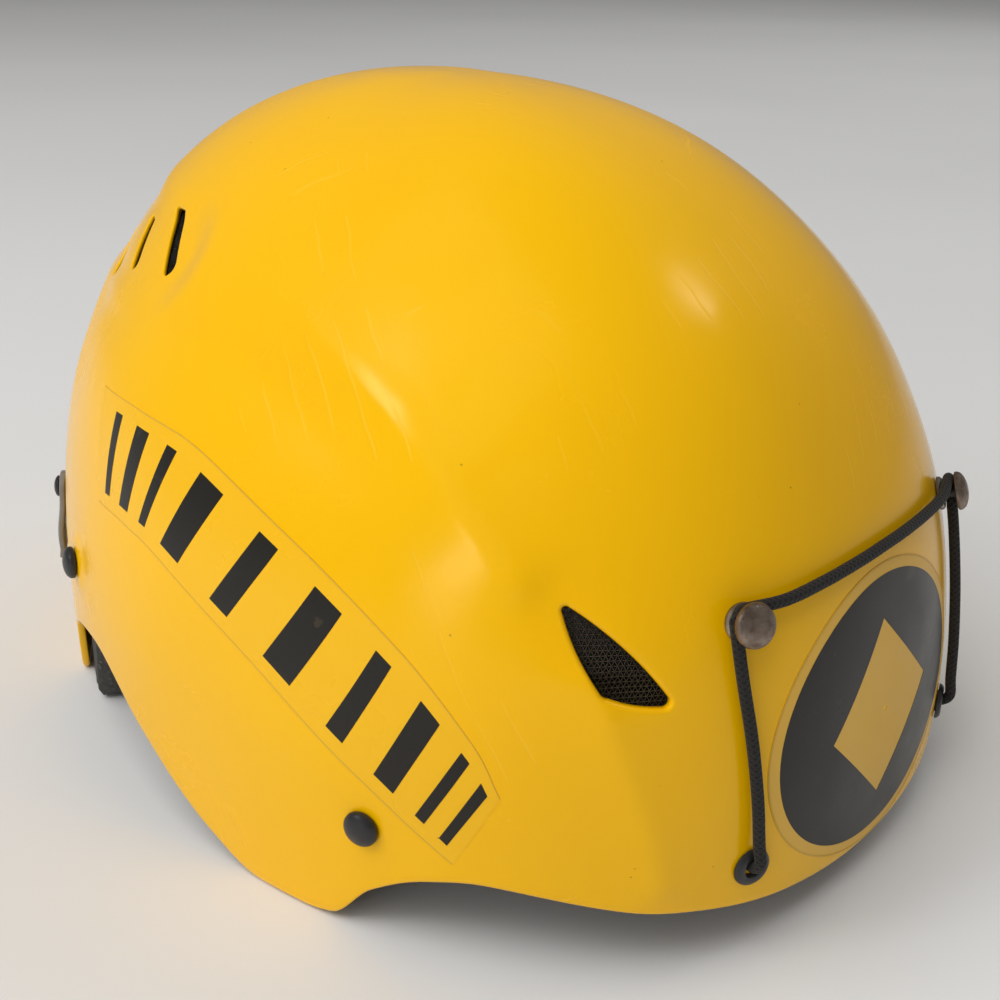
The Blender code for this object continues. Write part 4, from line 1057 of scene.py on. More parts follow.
def cord_route():
    """Half of the cord's way, from behind the right eyelet to the middle of the brow, as in the CAD."""
    eyelet, stud = shell_frame(*EYELET), shell_frame(*STUD)
    lift, wrap = 0.0030, 0.00328
    inside = [eyelet @ Vector(p) for p in ((0, 0, -0.0040), (0, 0, -0.0010), (0, 0.0005, 0.0014),
                                           (0, 0.0026, 0.0032))]
    rise = [surface(EYELET[0] + more, height, out)[0] for more, height, out in (
        (0.2, 0.0310, 0.0027), (0.6, 0.0420, 0.0024), (1.3, 0.0560, 0.0023), (2.2, 0.0700, 0.0025))]
    turn = [stud @ Vector((wrap * math.cos(math.radians(a)), wrap * math.sin(math.radians(a)), lift))
            for a in (188, 158, 128, 100)]
    across = [surface(at, height, out)[0] for at, height, out in (
        (16.5, 0.0838, 0.0027), (11.0, 0.0842, 0.0021), (5.0, 0.0845, 0.0020), (0.0, 0.0846, 0.0020))]
    return [np.array(tuple(p)) for p in inside + rise + turn + across]


def build_cord():
    half = cord_route()
    route = smooth_path(half + [sided(p, -1) for p in reversed(half[:-1])], 420)
    cord = tube("lamp_cord", route, CORD_RADIUS, CORD, 22)
    fit(cord, "shell", "cord_black", "elastic_cord")
    knots = []
    for word, side in SIDES:
        eyelet = shell_frame(*EYELET, side)
        ring = [(0.0021, 0.0009), (0.0024, 0.0014), (0.0030, 0.0016), (0.0039, 0.0015), (0.0045, 0.0010),
                (0.0047, 0.0004), (0.0046, 0.0002), (0.0029, 0.0002), (0.0029, -0.0029), (0.0021, -0.0029)]
        fit(turned("eyelet_" + word, ring, eyelet, BLACK), "shell", "moulded_black", "cord_eyelet_" + word)
        knot = [(0, -0.0048), (0.0015, -0.0050), (0.0027, -0.0057), (0.0034, -0.0070), (0.0034, -0.0078),
                (0.0027, -0.0091), (0.0015, -0.0098), (0, -0.0100)]
        knots.append(turned("knot_" + word, knot, eyelet, CORD, 24))
        fit(knots[-1], "shell", "cord_black", "cord_knot_" + word)


def build_studs():
    top = 0.0048
    for word, side in SIDES:
        stud = shell_frame(*STUD, side)
        base = [(0, top), (0.0015, top), (0.0015, 0.0014), (0.0030, 0.0013), (0.0034, 0.0012), (0.0034,
                                                                                                0.0004),
                (0.0015, 0.0004), (0.0015, -0.0036), (0.0034, -0.0036), (0.0034, -0.0046), (0, -0.0046)]
        fit(turned("stud_post_" + word, base, stud, BLACK), "shell", "moulded_black", "stud_base_" + word)
        # The stud's rim ring is a real washer edge, in paler metal that paints a highlight round the stud.
        rim = [(0.00345, 0.0012), (0.0038, 0.0014), (0.0042, 0.0010), (0.0043, 0.0005), (0.0042, 0.0002),
               (0.00345, 0.0002)]
        fit(turned("stud_rim_" + word, rim, stud, PAINTED_HIGHLIGHT_PEWTER), "shell", "stud_pewter")
        cap = [(0.0049 * math.sin(a), top + 0.0004 + 0.0023 * math.cos(a)) for a in np.linspace(0, 1.45, 12)]
        cap += [(0.00495, top + 0.0003), (0.0049, top), (0.0046, top - 0.0002), (0.0042, top), (0.0030,
                                                                                                top + 0.0002),
                (0, top + 0.0002)]
        lid = turned("stud_lid_" + word, cap, stud, PEWTER, 56)
        fit(lid, "shell", "stud_pewter", "stud_cap_" + word)


def build_clips():
    drop = 0.004
    for word, side in SIDES:
        place = shell_frame(LAMP_CLIP[0], LAMP_CLIP[1] + LAMP_CLIP_LENGTH / 2 - drop, side)
        u = np.linspace(0, 1, 40)
        down = drop - u * LAMP_CLIP_LENGTH
        bow = 0.0003 + 0.0008 * np.sin(math.pi * np.clip(u * 1.15 - 0.25, 0, 1)) ** 2
        bow = bow + 0.0008 * np.maximum(u - 0.85, 0) / 0.15 + 0.0008
        round_ends = np.sqrt(np.clip(1 - (np.abs(u - 0.5) * 2) ** 14, 0.02, 1))
        width = LAMP_CLIP_WIDTH * (1 - 0.35 * u ** 3) * round_ends
        points = np.stack([u * 0, down, bow], -1)
        section = section_box(LAMP_CLIP_THICKNESS, 1.0, 0.0005)
        sections = np.broadcast_to(section, (40, *section.shape)).copy()
        sections[..., 1] = section[:, 1] + np.sign(section[:, 1]) * (width[:, None] - 1) / 2
        clip = swept("clip_" + word, points, np.tile((0, 0, 1.0), (40, 1)), section, GREY, sections)
        clip.matrix_world = place
        fit(clip, "clip_" + word, "clip_grey", "lamp_clip_" + word)
        head = [(0.0031 * math.sin(a), 0.0024 + 0.0013 * math.cos(a)) for a in np.linspace(0, math.pi / 2, 8)]
        profile = head + [(0.0031, 0.0023), (0.0016, 0.0023), (0.0016, -0.0036), (0.0030, -0.0036),
                          (0.0030, -0.0045), (0, -0.0045)]
        fit(turned("clip_rivet_" + word, profile, place, BLACK), "shell", "moulded_black",
            "lamp_clip_rivet_" + word)


# ---------------------------------------------------------------- headband and adjuster
def band_points(degrees, radius, height=0.0):
    """On the headband, seen from above: 0 degrees is the rear, 90 the right temple, 180 the front."""
    degrees, radius, height = np.broadcast_arrays(*(np.asarray(v, float) for v in (degrees, radius, height)))
    angle = np.radians(degrees)
    y = radius * np.cos(angle)
    y = np.where(np.cos(angle) < 0, y * FRONT_BAND_REACH / FRONT_BAND_RADIUS, y)
    return np.stack([-radius * np.sin(angle), BAND_CENTRE_Y + y, BAND_HEIGHT + height], -1)


def band_strip(name, start, end, count, inner, outer, half_height, mat, radius=0.0003):
    """A strip with rounded edges bent round the headband's path; UV in millimetres."""
    middle, thick = (inner + outer) / 2, outer - inner
    path = band_points(np.linspace(start, end, count), middle)
    ahead = band_points(np.linspace(start, end, count), middle + 0.0002)
    return swept(name, path, unit(ahead - path), section_box(thick, 2 * half_height, radius, 5), mat)


def soft_strip(name, start, end, inner, outer, half_height, seams, rows=26, columns=110):
    """A comfort pad bent round the headband's path: crowned towards the head, with sewn channels."""
    v, u = np.meshgrid(np.linspace(-1, 1, rows), np.linspace(-1, 1, columns), indexing="ij")
    degrees = (start + end) / 2 + (end - start) / 2 * u
    round_ends = np.sqrt(np.clip(1 - np.clip((np.abs(u) - 0.93) / 0.07, 0, 1) ** 2, 0, 1))
    tall = half_height * v * (0.62 + 0.38 * round_ends)
    full = (1 - v ** 4) * (1 - u ** 16)
    for seam in seams:
        full = full * (1 - 0.62 * np.exp(-((u - seam) / 0.014) ** 2))
    full = full * (1 - 0.25 * np.exp(-(v / 0.10) ** 2))
    flat, crowned = outer - 0.0003, outer - 0.0009 - (outer - 0.0009 - inner) * np.clip(full, 0, 1)
    made = thin_patch(name, band_points(degrees, flat, tall), band_points(degrees, crowned, tall), PAD)
    return made


def front_post_frame(side):
    at = 156.0
    here, before, after = (band_points(at + more, FRONT_BAND_RADIUS) for more in (0, -0.5, 0.5))
    out = unit(np.cross(after - before, (0, 0, -1)))
    out = -out if out[1] > 0 else out
    frame_here = frame_of(np.cross(UP, out), UP, out, here + out * POST_REACH)
    return frame_here if side > 0 else mirrored(frame_here)


def temple_frame(side):
    """At the temple, Z pointing outward."""
    place = Matrix.Translation(tuple(sided((-FRONT_BAND_RADIUS, BAND_CENTRE_Y, BAND_HEIGHT), side)))
    return place @ Matrix.Rotation(math.radians(-90 * side), 4, "Y")


def build_headband():
    half = 0.0006
    outer = FRONT_BAND_RADIUS + half
    front = band_strip("front_band", 86, 274, 240, outer - 0.0012, outer, 0.0110, BLACK)
    cutters = []
    for word, side in SIDES:
        temple = temple_frame(side)
        cutters.append(bore("cut_temple_" + word, 0.0023, 0.006, -0.006, temple, 32))
        for k in range(7):
            at = 104.0 + 5.2 * k
            point = sided(band_points(at, outer, 0.0), side)
            ahead = sided(band_points(at, outer + 0.001, 0.0), side)
            out = unit(ahead - point)
            place = frame_of(np.cross(UP, out), UP, out, point)
            outline = section_box(2 * 0.0013, 2 * 0.0058, 0.0012, 5)
            if k not in (5, 6):
                cutters.append(prism(f"cut_window_{word}_{k}", outline, -0.004, 0.004, place))
    cut(front, *cutters)
    shaded(front, 40)
    fit(front, "shell", "moulded_black", "headband_front")
    pad = soft_strip("brow_cushion", 128, 232, outer - 0.0051, outer - 0.0015, 0.0125,
                     (-0.72, -0.36, 0.0, 0.36, 0.72))
    fit(pad, "shell", "pad_fabric", "brow_pad")
    for word, side in SIDES:
        temple = temple_frame(side)
        head = -half - 0.0006
        peg = [(0, 0.0205), (0.0017, 0.0205), (0.0020, 0.0202), (0.0020, head), (0.0046, head),
               (0.0048, head - 0.0003), (0.0046, head - 0.0010), (0.0030, head - 0.0011), (0.0026,
                                                                                           head - 0.0008),
               (0, head - 0.0008)]
        fit(turned("temple_pivot_" + word, peg, temple, BLACK, 40), "shell",
            "moulded_black", "temple_peg_" + word)
        gap = TAIL_RADIUS - FRONT_BAND_RADIUS + half + 0.0011
        ring = [(0.0066, gap + 0.0018), (0.0070, gap + 0.0013), (0.0070, gap + 0.0003), (0.0067, gap),
                (0.0023, gap), (0.0023, gap + 0.0018), (0.0040, gap + 0.0018), (0.0043, gap + 0.0015),
                (0.0056, gap + 0.0015), (0.0059, gap + 0.0018)]
        fit(turned("temple_disc_" + word, ring, temple, BLACK, 56), "yoke",
            "moulded_black", "temple_swivel_" + word)
        post = front_post_frame(side)
        inner = -POST_REACH + half + 0.0006
        pin = [(0, 0.0045), (0.0022, 0.0045), (0.0025, 0.0042), (0.0025, inner + 0.0018), (0.0029,
                                                                                           inner + 0.0015),
               (0.0053, inner + 0.0012), (0.0055, inner + 0.0009), (0.0055, inner + 0.0002), (0.0053, inner),
               (0, inner)]
        fit(turned("band_pin_" + word, pin, post, BLACK, 40), "shell",
            "moulded_black", "band_post_" + word)


def tail_outline():
    """Angles along the right tail with its lower and upper edges: strip, shoulder, toothed tongue."""
    turn = math.degrees(1 / TAIL_RADIUS)
    shoulder, tip = 0.0405, -0.0185
    low = PINION_PITCH_RADIUS + TOOTH_DEDENDUM
    high = PINION_PITCH_RADIUS - TOOTH_ADDENDUM
    full = TAIL_HALF_HEIGHT
    rows = [(at, -full) for at in np.arange(94.0, shoulder * turn + 0.3, -0.8)]
    for k in range(7):
        a = math.pi / 2 * k / 6
        rows.append(((shoulder - 0.0006 * (1 - math.cos(a))) * turn, -full + (low + full) * math.sin(a) ** 2))
    rows += [(arc * turn, low) for arc in np.arange(0.0394, 0.0140, -0.0008)]
    for k in range(int(0.0130 / TOOTH_PITCH), int(tip / TOOTH_PITCH) - 1, -1):
        for share, edge in ((0.76, low), (0.61, high + 0.0001), (0.57, high), (0.43, high), (0.39,
                                                                                             high + 0.0001),
                            (0.24, low)):
            arc = (k + share) * TOOTH_PITCH
            if arc > tip + 0.0012:
                rows.append((arc * turn, edge))
    rows.append((tip * turn, low))
    return np.array(rows)


def build_tails():
    """Two toothed tails: the right one passes above the pinion and the left one below it."""
    rows = tail_outline()
    thick = 0.0012
    deep, tall = section_box(thick, 1.0, 0.00028, 3).T
    for word, side in SIDES:
        edge = (rows[:, 1][:, None] + 0.00028) * 0.5 + (TAIL_HALF_HEIGHT - 0.00028) * 0.5
        reach = (TAIL_HALF_HEIGHT - rows[:, 1][:, None]) / 2 - 0.00028
        rest = tall - np.sign(tall) * (0.5 - 0.00028)
        height = edge + np.sign(tall) * reach + rest
        verts = band_points(rows[:, :1], TAIL_RADIUS + deep, height)
        if side < 0:
            verts = band_points(-rows[:, :1], TAIL_RADIUS + deep, -height)
        count = len(deep)
        faces = grid_faces(len(rows), count, True)
        last = (len(rows) - 1) * count
        faces += [list(range(count)), list(range(last, last + count))]
        tail = add_mesh("toothed_tail_" + word, verts.reshape(-1, 3), faces, BLACK, sharp=35)
        cutters = []
        temple = temple_frame(side)
        cutters.append(bore("cut_tail_hole_" + word, 0.0031, 0.008, -0.002, temple, 32))
        for k in range(4):
            at = (76.0 - 8.5 * k) * side
            point = band_points(at, TAIL_RADIUS)
            out = unit(band_points(at, TAIL_RADIUS + 0.001) - point)
            outline = section_box(2 * 0.0036, 2 * 0.0035, 0.0020, 6)
            cutters.append(prism(f"cut_tail_window_{word}_{k}", outline, -0.003, 0.003,
                                 frame_of(np.cross(UP, out), UP, out, point)))
        cut(tail, *cutters)
        shaded(tail, 35)
        fit(tail, "tail_" + word, "moulded_black", "band_tail_" + word)


def knob_frame(distance):
    """On the knob's axis, Z pointing to the rear, at a distance from the headband's centre."""
    place = Matrix.Rotation(math.radians(-90), 4, "X")
    place.translation = (0, BAND_CENTRE_Y + distance, BAND_HEIGHT)
    return place


def build_adjuster():
    half, clear, wall = 0.0006, 0.0006, 0.0013
    inner, outer = TAIL_RADIUS - half, TAIL_RADIUS + half
    high = TAIL_HALF_HEIGHT + clear
    floor, lip = inner - clear, outer + clear
    deep = np.array([floor - wall, lip, lip, floor, floor, lip, lip, floor - wall])
    tall = np.array([-high - wall, -high - wall, -high, -high, high, high, high + wall, high + wall])
    degrees = np.linspace(27, -27, 90)[:, None]
    verts = band_points(degrees, deep[None], tall[None]).reshape(-1, 3)
    faces = grid_faces(90, 8, True) + [list(range(8)), list(range(89 * 8, 90 * 8))]
    housing = add_mesh("adjuster_tray", verts, faces, BLACK)
    fit(rounded(housing, 0.0003, 2, 40), "cradle", "moulded_black", "adjuster_housing")

    cover = band_strip("adjuster_lid", 27, -27, 90, lip + 0.0003, lip + 0.0003 + wall, high + wall, BLACK,
                       0.0006)
    cutter = bore("cut_cover", 0.0038, 0.006, -0.004, knob_frame(lip), 48)
    cut(cover, cutter)
    shaded(cover, 40)
    fit(cover, "cradle", "moulded_black", "adjuster_cover")

    face = TAIL_RADIUS - 0.0005
    root, tip = PINION_PITCH_RADIUS - TOOTH_DEDENDUM, PINION_PITCH_RADIUS + TOOTH_ADDENDUM - 0.0001
    outline = []
    for k in range(PINION_TEETH):
        for offset, radius in ((-0.26, root), (-0.22, root + 0.0001), (-0.10, tip - 0.0002), (-0.07, tip),
                               (0.07, tip), (0.10, tip - 0.0002), (0.22, root + 0.0001), (0.26, root)):
            angle = (k + offset) * 2 * math.pi / PINION_TEETH
            outline.append((radius * math.sin(angle), radius * math.cos(angle)))
    fit(prism("pinion_wheel", outline[::-1], -0.0005, 0.0005, knob_frame(face + 0.0004), STEEL), "knob",
        "steel_zinc", "adjuster_pinion")

    base = lip + wall + 0.0006
    profile = [(0.0034, face + 0.0012), (0.0034, base), (KNOB_RADIUS - 0.0006, base),
               (KNOB_RADIUS - 0.0001, base + 0.0004), (KNOB_RADIUS, base + 0.0010), (KNOB_RADIUS,
                                                                                     base + 0.0050),
               (KNOB_RADIUS - 0.0002, base + 0.0066), (KNOB_RADIUS * 0.94, base + 0.0080),
               (KNOB_RADIUS * 0.87, base + 0.0090), (KNOB_RADIUS * 0.76, base + 0.0095),
               (KNOB_RADIUS * 0.70, base + 0.0094), (KNOB_RADIUS * 0.64, base + 0.0088),
               (KNOB_RADIUS * 0.30, base + 0.0086), (KNOB_RADIUS * 0.1, base + 0.0086)]
    profile = np.array(profile)
    steps = 240
    angles = np.linspace(0, 2 * math.pi, steps, endpoint=False)
    flute = 0.5 + 0.5 * np.cos(8 * (angles - math.radians(22.5)))
    flute = smoothstep(0.45, 1.0, flute)
    bite = 0.0012 * flute[None] * smoothstep(KNOB_RADIUS * 0.80, KNOB_RADIUS * 0.97, profile[:, 0])[:, None]
    radius = profile[:, :1] - bite
    ring = np.stack([radius * np.cos(angles), radius * np.sin(angles),
                     np.broadcast_to(profile[:, 1:], radius.shape)], -1).reshape(-1, 3)
    faces = grid_faces(len(profile), steps, True)
    verts = np.vstack([ring, [(0, 0, profile[0, 1]), (0, 0, profile[-1, 1])]])
    last = (len(profile) - 1) * steps
    for k in range(steps):
        faces.append([len(ring), (k + 1) % steps, k])
        faces.append([len(ring) + 1, last + k, last + (k + 1) % steps])
    knob = add_mesh("size_knob", verts, faces, BLACK, sharp=35)
    knob.matrix_world = knob_frame(0)
    fit(knob, "knob", "moulded_black", "adjuster_knob")
    pad = soft_strip("nape_cushion", 24, -24, floor - wall - 0.0038, floor - wall - 0.0003, 0.0100, (-0.4,
                                                                                                     0.4),
                     22, 70)
    fit(pad, "cradle", "pad_fabric", "nape_pad")


def build_liner_pads():
    """Pads held inside the liner: a round one at the crown and one along each side."""
    depth, thick = LINER_INNER + 0.0016, 0.0050
    top = CROWN_HEIGHT - depth
    around, out = 96, 22
    angles = np.linspace(0, 360, around + 1)
    share = np.linspace(0.0, 1.0, out)[:, None]
    height = top - 0.0110 * share ** 2
    degrees = np.broadcast_to(angles[None], (out, around + 1))
    high = base_point(degrees, np.broadcast_to(height, degrees.shape), depth)
    spokes = 0.5 + 0.5 * np.cos(np.radians(degrees) * 6)
    full = (1 - share ** 5) * (1 - 0.45 * np.exp(-((1 - spokes) / 0.018)) * smoothstep(0.35, 0.6, share))
    full = full * (1 - 0.5 * np.exp(-((share - 0.36) / 0.03) ** 2))
    low = high - np.array((0, 0, 1.0)) * (0.0006 + (thick - 0.0010) * full)[..., None]
    centre = (low - (0, CENTRE_Y, 0)) * (0.995, 0.995, 1) + (0, CENTRE_Y, 0)
    pad = thin_patch("crown_cushion", high, centre, PAD)
    weld = pad.modifiers.new("seam", "WELD")
    weld.merge_threshold = 1e-6
    applied(pad)
    fit(pad, "shell", "pad_fabric", "crown_pad")
    for word, side in SIDES:
        v, u = np.meshgrid(np.linspace(-1, 1, 30), np.linspace(-1, 1, 60), indexing="ij")
        near = np.sqrt(np.clip(1 - np.clip((np.abs(u) - 0.8) / 0.2, 0, 1) ** 2, 0, 1))
        degrees = 89.0 + 17.0 * u
        height = 0.0910 + 0.0130 * v * (0.6 + 0.4 * near)
        full = (1 - v ** 6) * (1 - u ** 8) * (1 - 0.5 * np.exp(-((np.abs(u) - 0.34) / 0.03) ** 2))
        outer = base_point(degrees, height, depth + 0.0013)
        deep = np.stack([base_point(degrees, height, depth + 0.0013 + d) for d in (0.0006, 0.0048)])
        inner = deep[0] + (deep[1] - deep[0]) * full[..., None]
        made = thin_patch("side_cushion_" + word, sided(outer, side), sided(inner, side), PAD)
        fit(made, "shell", "pad_fabric", "side_pad_" + word)


# ---------------------------------------------------------------- chin strap
WAY = unit(BUCKLE_END - BUCKLE_START)
SLANT = unit(np.cross(WAY, UP)) * (1 if np.cross(WAY, UP)[0] < 0 else -1)


def along_buckle(distance):
    return BUCKLE_START + WAY * distance + UP * STRAP_HEIGHT


def buckle_frame(distance, side=1, lift=0.0):
    """Along the buckle, Z pointing away from the wearer."""
    place = frame_of(WAY, UP, np.cross(WAY, UP), along_buckle(distance) + SLANT * lift)
    return place if side > 0 else mirrored(place)


def strap(name, route, count, side=1, columns=9):
    """Flat webbing on its edge along (point, outward) pairs, with slightly rounded edges."""
    path = smooth_path([sided(p, side) for p, n in route], count)
    facing = unit(smooth_path([sided(n, side) for p, n in route], count))
    x, y = STRAP_THICKNESS / 2, STRAP_WIDTH / 2
    face = np.linspace(-1, 1, columns)
    swell = x * (1 - 0.10 * np.abs(face) ** 6)
    flat = face * (y - 0.0004)
    section = [(-s, f) for s, f in zip(swell, flat)] + [(-x * 0.4, y), (x * 0.4, y)]
    section += [(s, f) for s, f in zip(swell[::-1], flat[::-1])] + [(x * 0.4, -y), (-x * 0.4, -y)]
    return swept(name, path, facing, section, WEB, sharp=60), path, facing


def strap_sides(path, facing):
    run = unit(np.gradient(path, axis=0))
    side = unit(np.cross(facing, run))
    return side, unit(np.cross(run, side))


def build_harness():
    outward = np.array((-1.0, 0, 0))
    for word, side in SIDES:
        for where, (at, height) in RIVETS.items():
            place = np.array(shell_frame(at, height))
            normal, origin = place[:3, 2], place[:3, 3]
            start = origin - normal * (LINER_INNER + 0.0021)
            toward = DIVIDER - start
            toward = unit(toward - normal * (normal @ toward))
            last = DIVIDER + (0, -0.0165 if where == "front" else 0.0190, 0.0040)
            route = [(start - toward * 0.0060, normal), (start + toward * 0.0060, normal),
                     ((start + last) / 2 + outward * 0.0010, (normal + outward) / 2), (last, outward)]
            made, path, facing = strap(f"{where}_strap_{word}", route, 60, side)
            hole = shell_frame(at, height, side) @ Matrix.Translation((0, 0, -LINER_INNER - 0.0021))
            cut(made, bore("cut_strap", 0.0025, 0.006, -0.006, hole, 24))
            shaded(made, 60)
            fit(made, "shell", "webbing_black", f"{where}_webbing_{word}")
            across, out = strap_sides(path, facing)
            for k, shift in enumerate((-0.0052, 0.0052)):
                row = path[12:20] + across[12:20] * shift - out[12:20] * STRAP_THICKNESS / 2 * side
                lane = row if k == 0 else row[::-1]
                fit(stitches(f"{where}_stitch_{word}_{k}", lane, -out[12:20] * side, THREAD), "shell",
                    "webbing_black")
        frame_here = frame_of((0, 1, 0), (0, 0, 1), (1, 0, 0), sided(DIVIDER, side))
        outline = section_box(2 * 0.0125, 2 * 0.0110, 0.0035, 8)
        plate = prism("divider_" + word, [tuple(p) for p in outline], -0.0016, 0.0016, frame_here, BLACK)
        cutters = []
        for x, tilt in ((-0.0085, 12), (0.0085, -12), (0.0, 90)):
            y, long = (0.001, 0.0150) if tilt != 90 else (-0.0068, 0.0120)
            slot = frame_here @ Matrix.Translation((x, y, 0)) @ Matrix.Rotation(math.radians(tilt), 4, "Z")
            shape = rounded_outline([(-0.0012, -long / 2), (0.0012, -long / 2), (0.0012, long / 2),
                                     (-0.0012, long / 2)], [0.0009] * 4, 4)
            cutters.append(prism("cut_divider", [tuple(p) for p in shape], -0.006, 0.006, slot))
        cut(plate, *cutters)
        fit(rounded(plate, 0.0004, 3, 40), "shell", "moulded_black", "strap_divider_" + word)


def slab(name, size, radii, place, bevel, mat=BLACK):
    """A moulded block: an outline with round corners, its edges rounded as well."""
    x, y = size[0] / 2, size[1] / 2
    outline = rounded_outline([(-x, -y), (x, -y), (x, y), (-x, y)], radii, 8)
    made = prism(name, [tuple(p) for p in outline], -size[2] / 2, size[2] / 2, place, mat)
    return made if not bevel else rounded(made, bevel, 4, 40)


def build_buckle():
    """Side-release buckle on the right: the male's two prongs sit in the female's side windows."""
    female = slab("buckle_body", (0.0280, 0.0220, 0.0086), [0.0042, 0.0026, 0.0026, 0.0042],
                  buckle_frame(0.0210), 0.0011)
    cutters = [box("cut_cavity", (0.0250, 0.0176, 0.0050), buckle_frame(0.0240)),
               box("cut_windows", (0.0100, 0.0300, 0.0050), buckle_frame(0.0200))]
    for k in range(3):
        groove = buckle_frame(0.0118 + 0.0017 * k) @ Matrix.Translation((0, 0, 0.0043))
        cutters.append(box(f"cut_groove_{k}", (0.0007, 0.0130, 0.0008), groove))
        groove = buckle_frame(0.0118 + 0.0017 * k) @ Matrix.Translation((0, 0, -0.0043))
        cutters.append(box(f"cut_groove_back_{k}", (0.0007, 0.0130, 0.0008), groove))
    cut(female, *cutters)
    shaded(female, 40)
    fit(female, "shell", "moulded_black", "buckle_female")
    male = slab("buckle_tab", (0.0110, 0.0200, 0.0070), [0.0016, 0.0034, 0.0034, 0.0016],
                buckle_frame(0.0410),
                0.0010)
    tongue = box("buckle_tab_tongue", (0.0180, 0.0034, 0.0040), buckle_frame(0.0280), BLACK)
    join = male.modifiers.new("tongue", "BOOLEAN")
    join.operation = "UNION"
    join.solver = "EXACT"
    join.object = tongue
    applied(male)
    bpy.data.objects.remove(tongue, do_unlink=True)
    shaded(male, 40)
    fit(male, "shell", "moulded_black", "buckle_male")
    for word, sign in (("upper", 1), ("lower", -1)):
        corners = [(0.0, 0.0), (-0.0110, 0.0006), (-0.0110, 0.0030), (-0.0150, 0.0024), (-0.0184, -0.0010),
                   (-0.0184, -0.0028), (-0.0120, -0.0022), (0.0, -0.0022)]
        corners = [(x, y * sign) for x, y in corners]
        if sign > 0:
            corners.reverse()
        place = buckle_frame(0.0352) @ Matrix.Translation((0, sign * 0.0076, 0))
        prong = prism("prong_" + word, corners, -0.0018, 0.0018, place, BLACK)
        fit(rounded(prong, 0.0004, 3, 20), "prong_" + word, "moulded_black", "buckle_prong_" + word)


def build_chin_strap():
    out, ahead = np.array((-1.0, 0, 0)), np.array((0, -1.0, 0))
    start = DIVIDER + (0.0027, -0.0030, 0)
    start[2] = STRAP_HEIGHT
    made, _, _ = strap("chin_strap_right", [(start, out), (along_buckle(0.0030), SLANT),
                                            (along_buckle(0.0067), SLANT)], 24)
    fit(made, "shell", "webbing_black", "chin_webbing_right")
    corner = np.array((-0.0380, -0.0955, STRAP_HEIGHT))
    front = np.array((0, -0.0975, STRAP_HEIGHT))
    bend = unit(SLANT + ahead)
    distances = [0.0560 - 0.0100 * k for k in range(5)]
    left = [sided(p, -1) for p in [corner] + [along_buckle(d) for d in distances] + [start]]
    facing = [sided(n, -1) for n in [bend] + [SLANT] * 5 + [out]]
    route = [(along_buckle(0.0474), SLANT), (along_buckle(0.0520), SLANT), (corner, bend), (front, ahead)]
    made, path, facing = strap("chin_strap_left", route + list(zip(left, facing)), 200)
    fit(made, "shell", "webbing_black", "chin_webbing_left")
    across, outs = strap_sides(path, facing)
    run = np.concatenate([[0], np.cumsum(np.linalg.norm(np.diff(path, axis=0), axis=1))])
    row = (run > 0.0010) & (run < 0.0120)
    for k, shift in enumerate((-0.0050, 0.0, 0.0050)):
        lane = path[row] + across[row] * shift + outs[row] * STRAP_THICKNESS / 2
        fit(stitches(f"chin_stitch_{k}", lane, outs[row], THREAD), "shell", "webbing_black")


def build_strap_fittings():
    slide = buckle_frame(0.0210, -1)
    slider = slab("slider_body", (0.0140, 0.0220, 0.0060), [0.0030] * 4, slide, 0.0010)
    cutters = [box("cut_slider", (0.0300, 0.0160, 0.0034), slide)]
    for k in range(4):
        for face in (1, -1):
            groove = slide @ Matrix.Translation((-0.0027 + 0.0018 * k, 0, 0.0030 * face))
            cutters.append(box("cut_slider_groove", (0.0007, 0.0150, 0.0007), groove))
    cut(slider, *cutters)
    shaded(slider, 40)
    fit(slider, "slider", "moulded_black", "strap_slider")
    layer = STRAP_THICKNESS + 0.0010
    way = [along_buckle(d) - SLANT * layer for d in (0.0290, 0.0380, 0.0470, 0.0550)]
    made, _, _ = strap("loose_end", [(p, SLANT) for p in way], 60, -1)
    fit(made, "shell", "webbing_black", "webbing_end")
    ring = buckle_frame(0.0420, -1, -layer / 2)
    slot = layer + STRAP_THICKNESS + 0.0006
    keeper = slab("keeper_ring", (0.0060, 0.0190, slot + 0.0026), [0.0012] * 4, ring, 0.0008)
    cut(keeper, box("cut_keeper", (0.0200, STRAP_WIDTH + 0.0008, slot), ring))
    shaded(keeper, 40)
    fit(keeper, "keeper", "moulded_black", "strap_keeper")


def build_chin_pad():
    """A soft sleeve round the strap: crowned faces, sewn along both long edges."""
    place = frame_of((1, 0, 0), (0, 0, 1), (0, -1, 0), (0, -0.0975, STRAP_HEIGHT))
    angles = np.linspace(0, 2 * math.pi, 72, endpoint=False)
    stations = np.linspace(-1, 1, 61)
    verts = []
    outer_x, outer_y = 0.0105, 0.0040
    for u in stations:
        end = np.sqrt(max(0.0, 1 - max(0.0, (abs(u) - 0.94) / 0.06) ** 2))
        puff = 0.80 + 0.20 * end - 0.10 * math.exp(-(abs(abs(u) - 0.86) / 0.03) ** 2)
        for a in angles:
            ring = (abs(math.cos(a)) ** 2.6 + abs(math.sin(a)) ** 2.6) ** (-1 / 2.6)
            x, y = ring * math.cos(a) * outer_x, ring * math.sin(a) * outer_y * puff
            pinch = 1 - 0.42 * math.exp(-((abs(x) - 0.0092) / 0.0007) ** 2)
            verts.append((u * 0.0220, x, y * pinch))
    inner = []
    for u in stations[::-1]:
        for a in angles:
            ring = (abs(math.cos(a)) ** 6 + abs(math.sin(a)) ** 6) ** (-1 / 6)
            inner.append((u * 0.0220, ring * math.cos(a) * 0.0080, ring * math.sin(a) * 0.0018))
    rows = 2 * len(stations)
    faces = grid_faces(rows, 72, True)
    last = (rows - 1) * 72
    faces += [[last + k, last + (k + 1) % 72, (k + 1) % 72, k] for k in range(72)]
    pad = add_mesh("chin_cushion", verts + inner, faces, PAD, sharp=80)
    pad.matrix_world = place
    fit(pad, "chin_pad_body", "pad_fabric", "chin_pad")


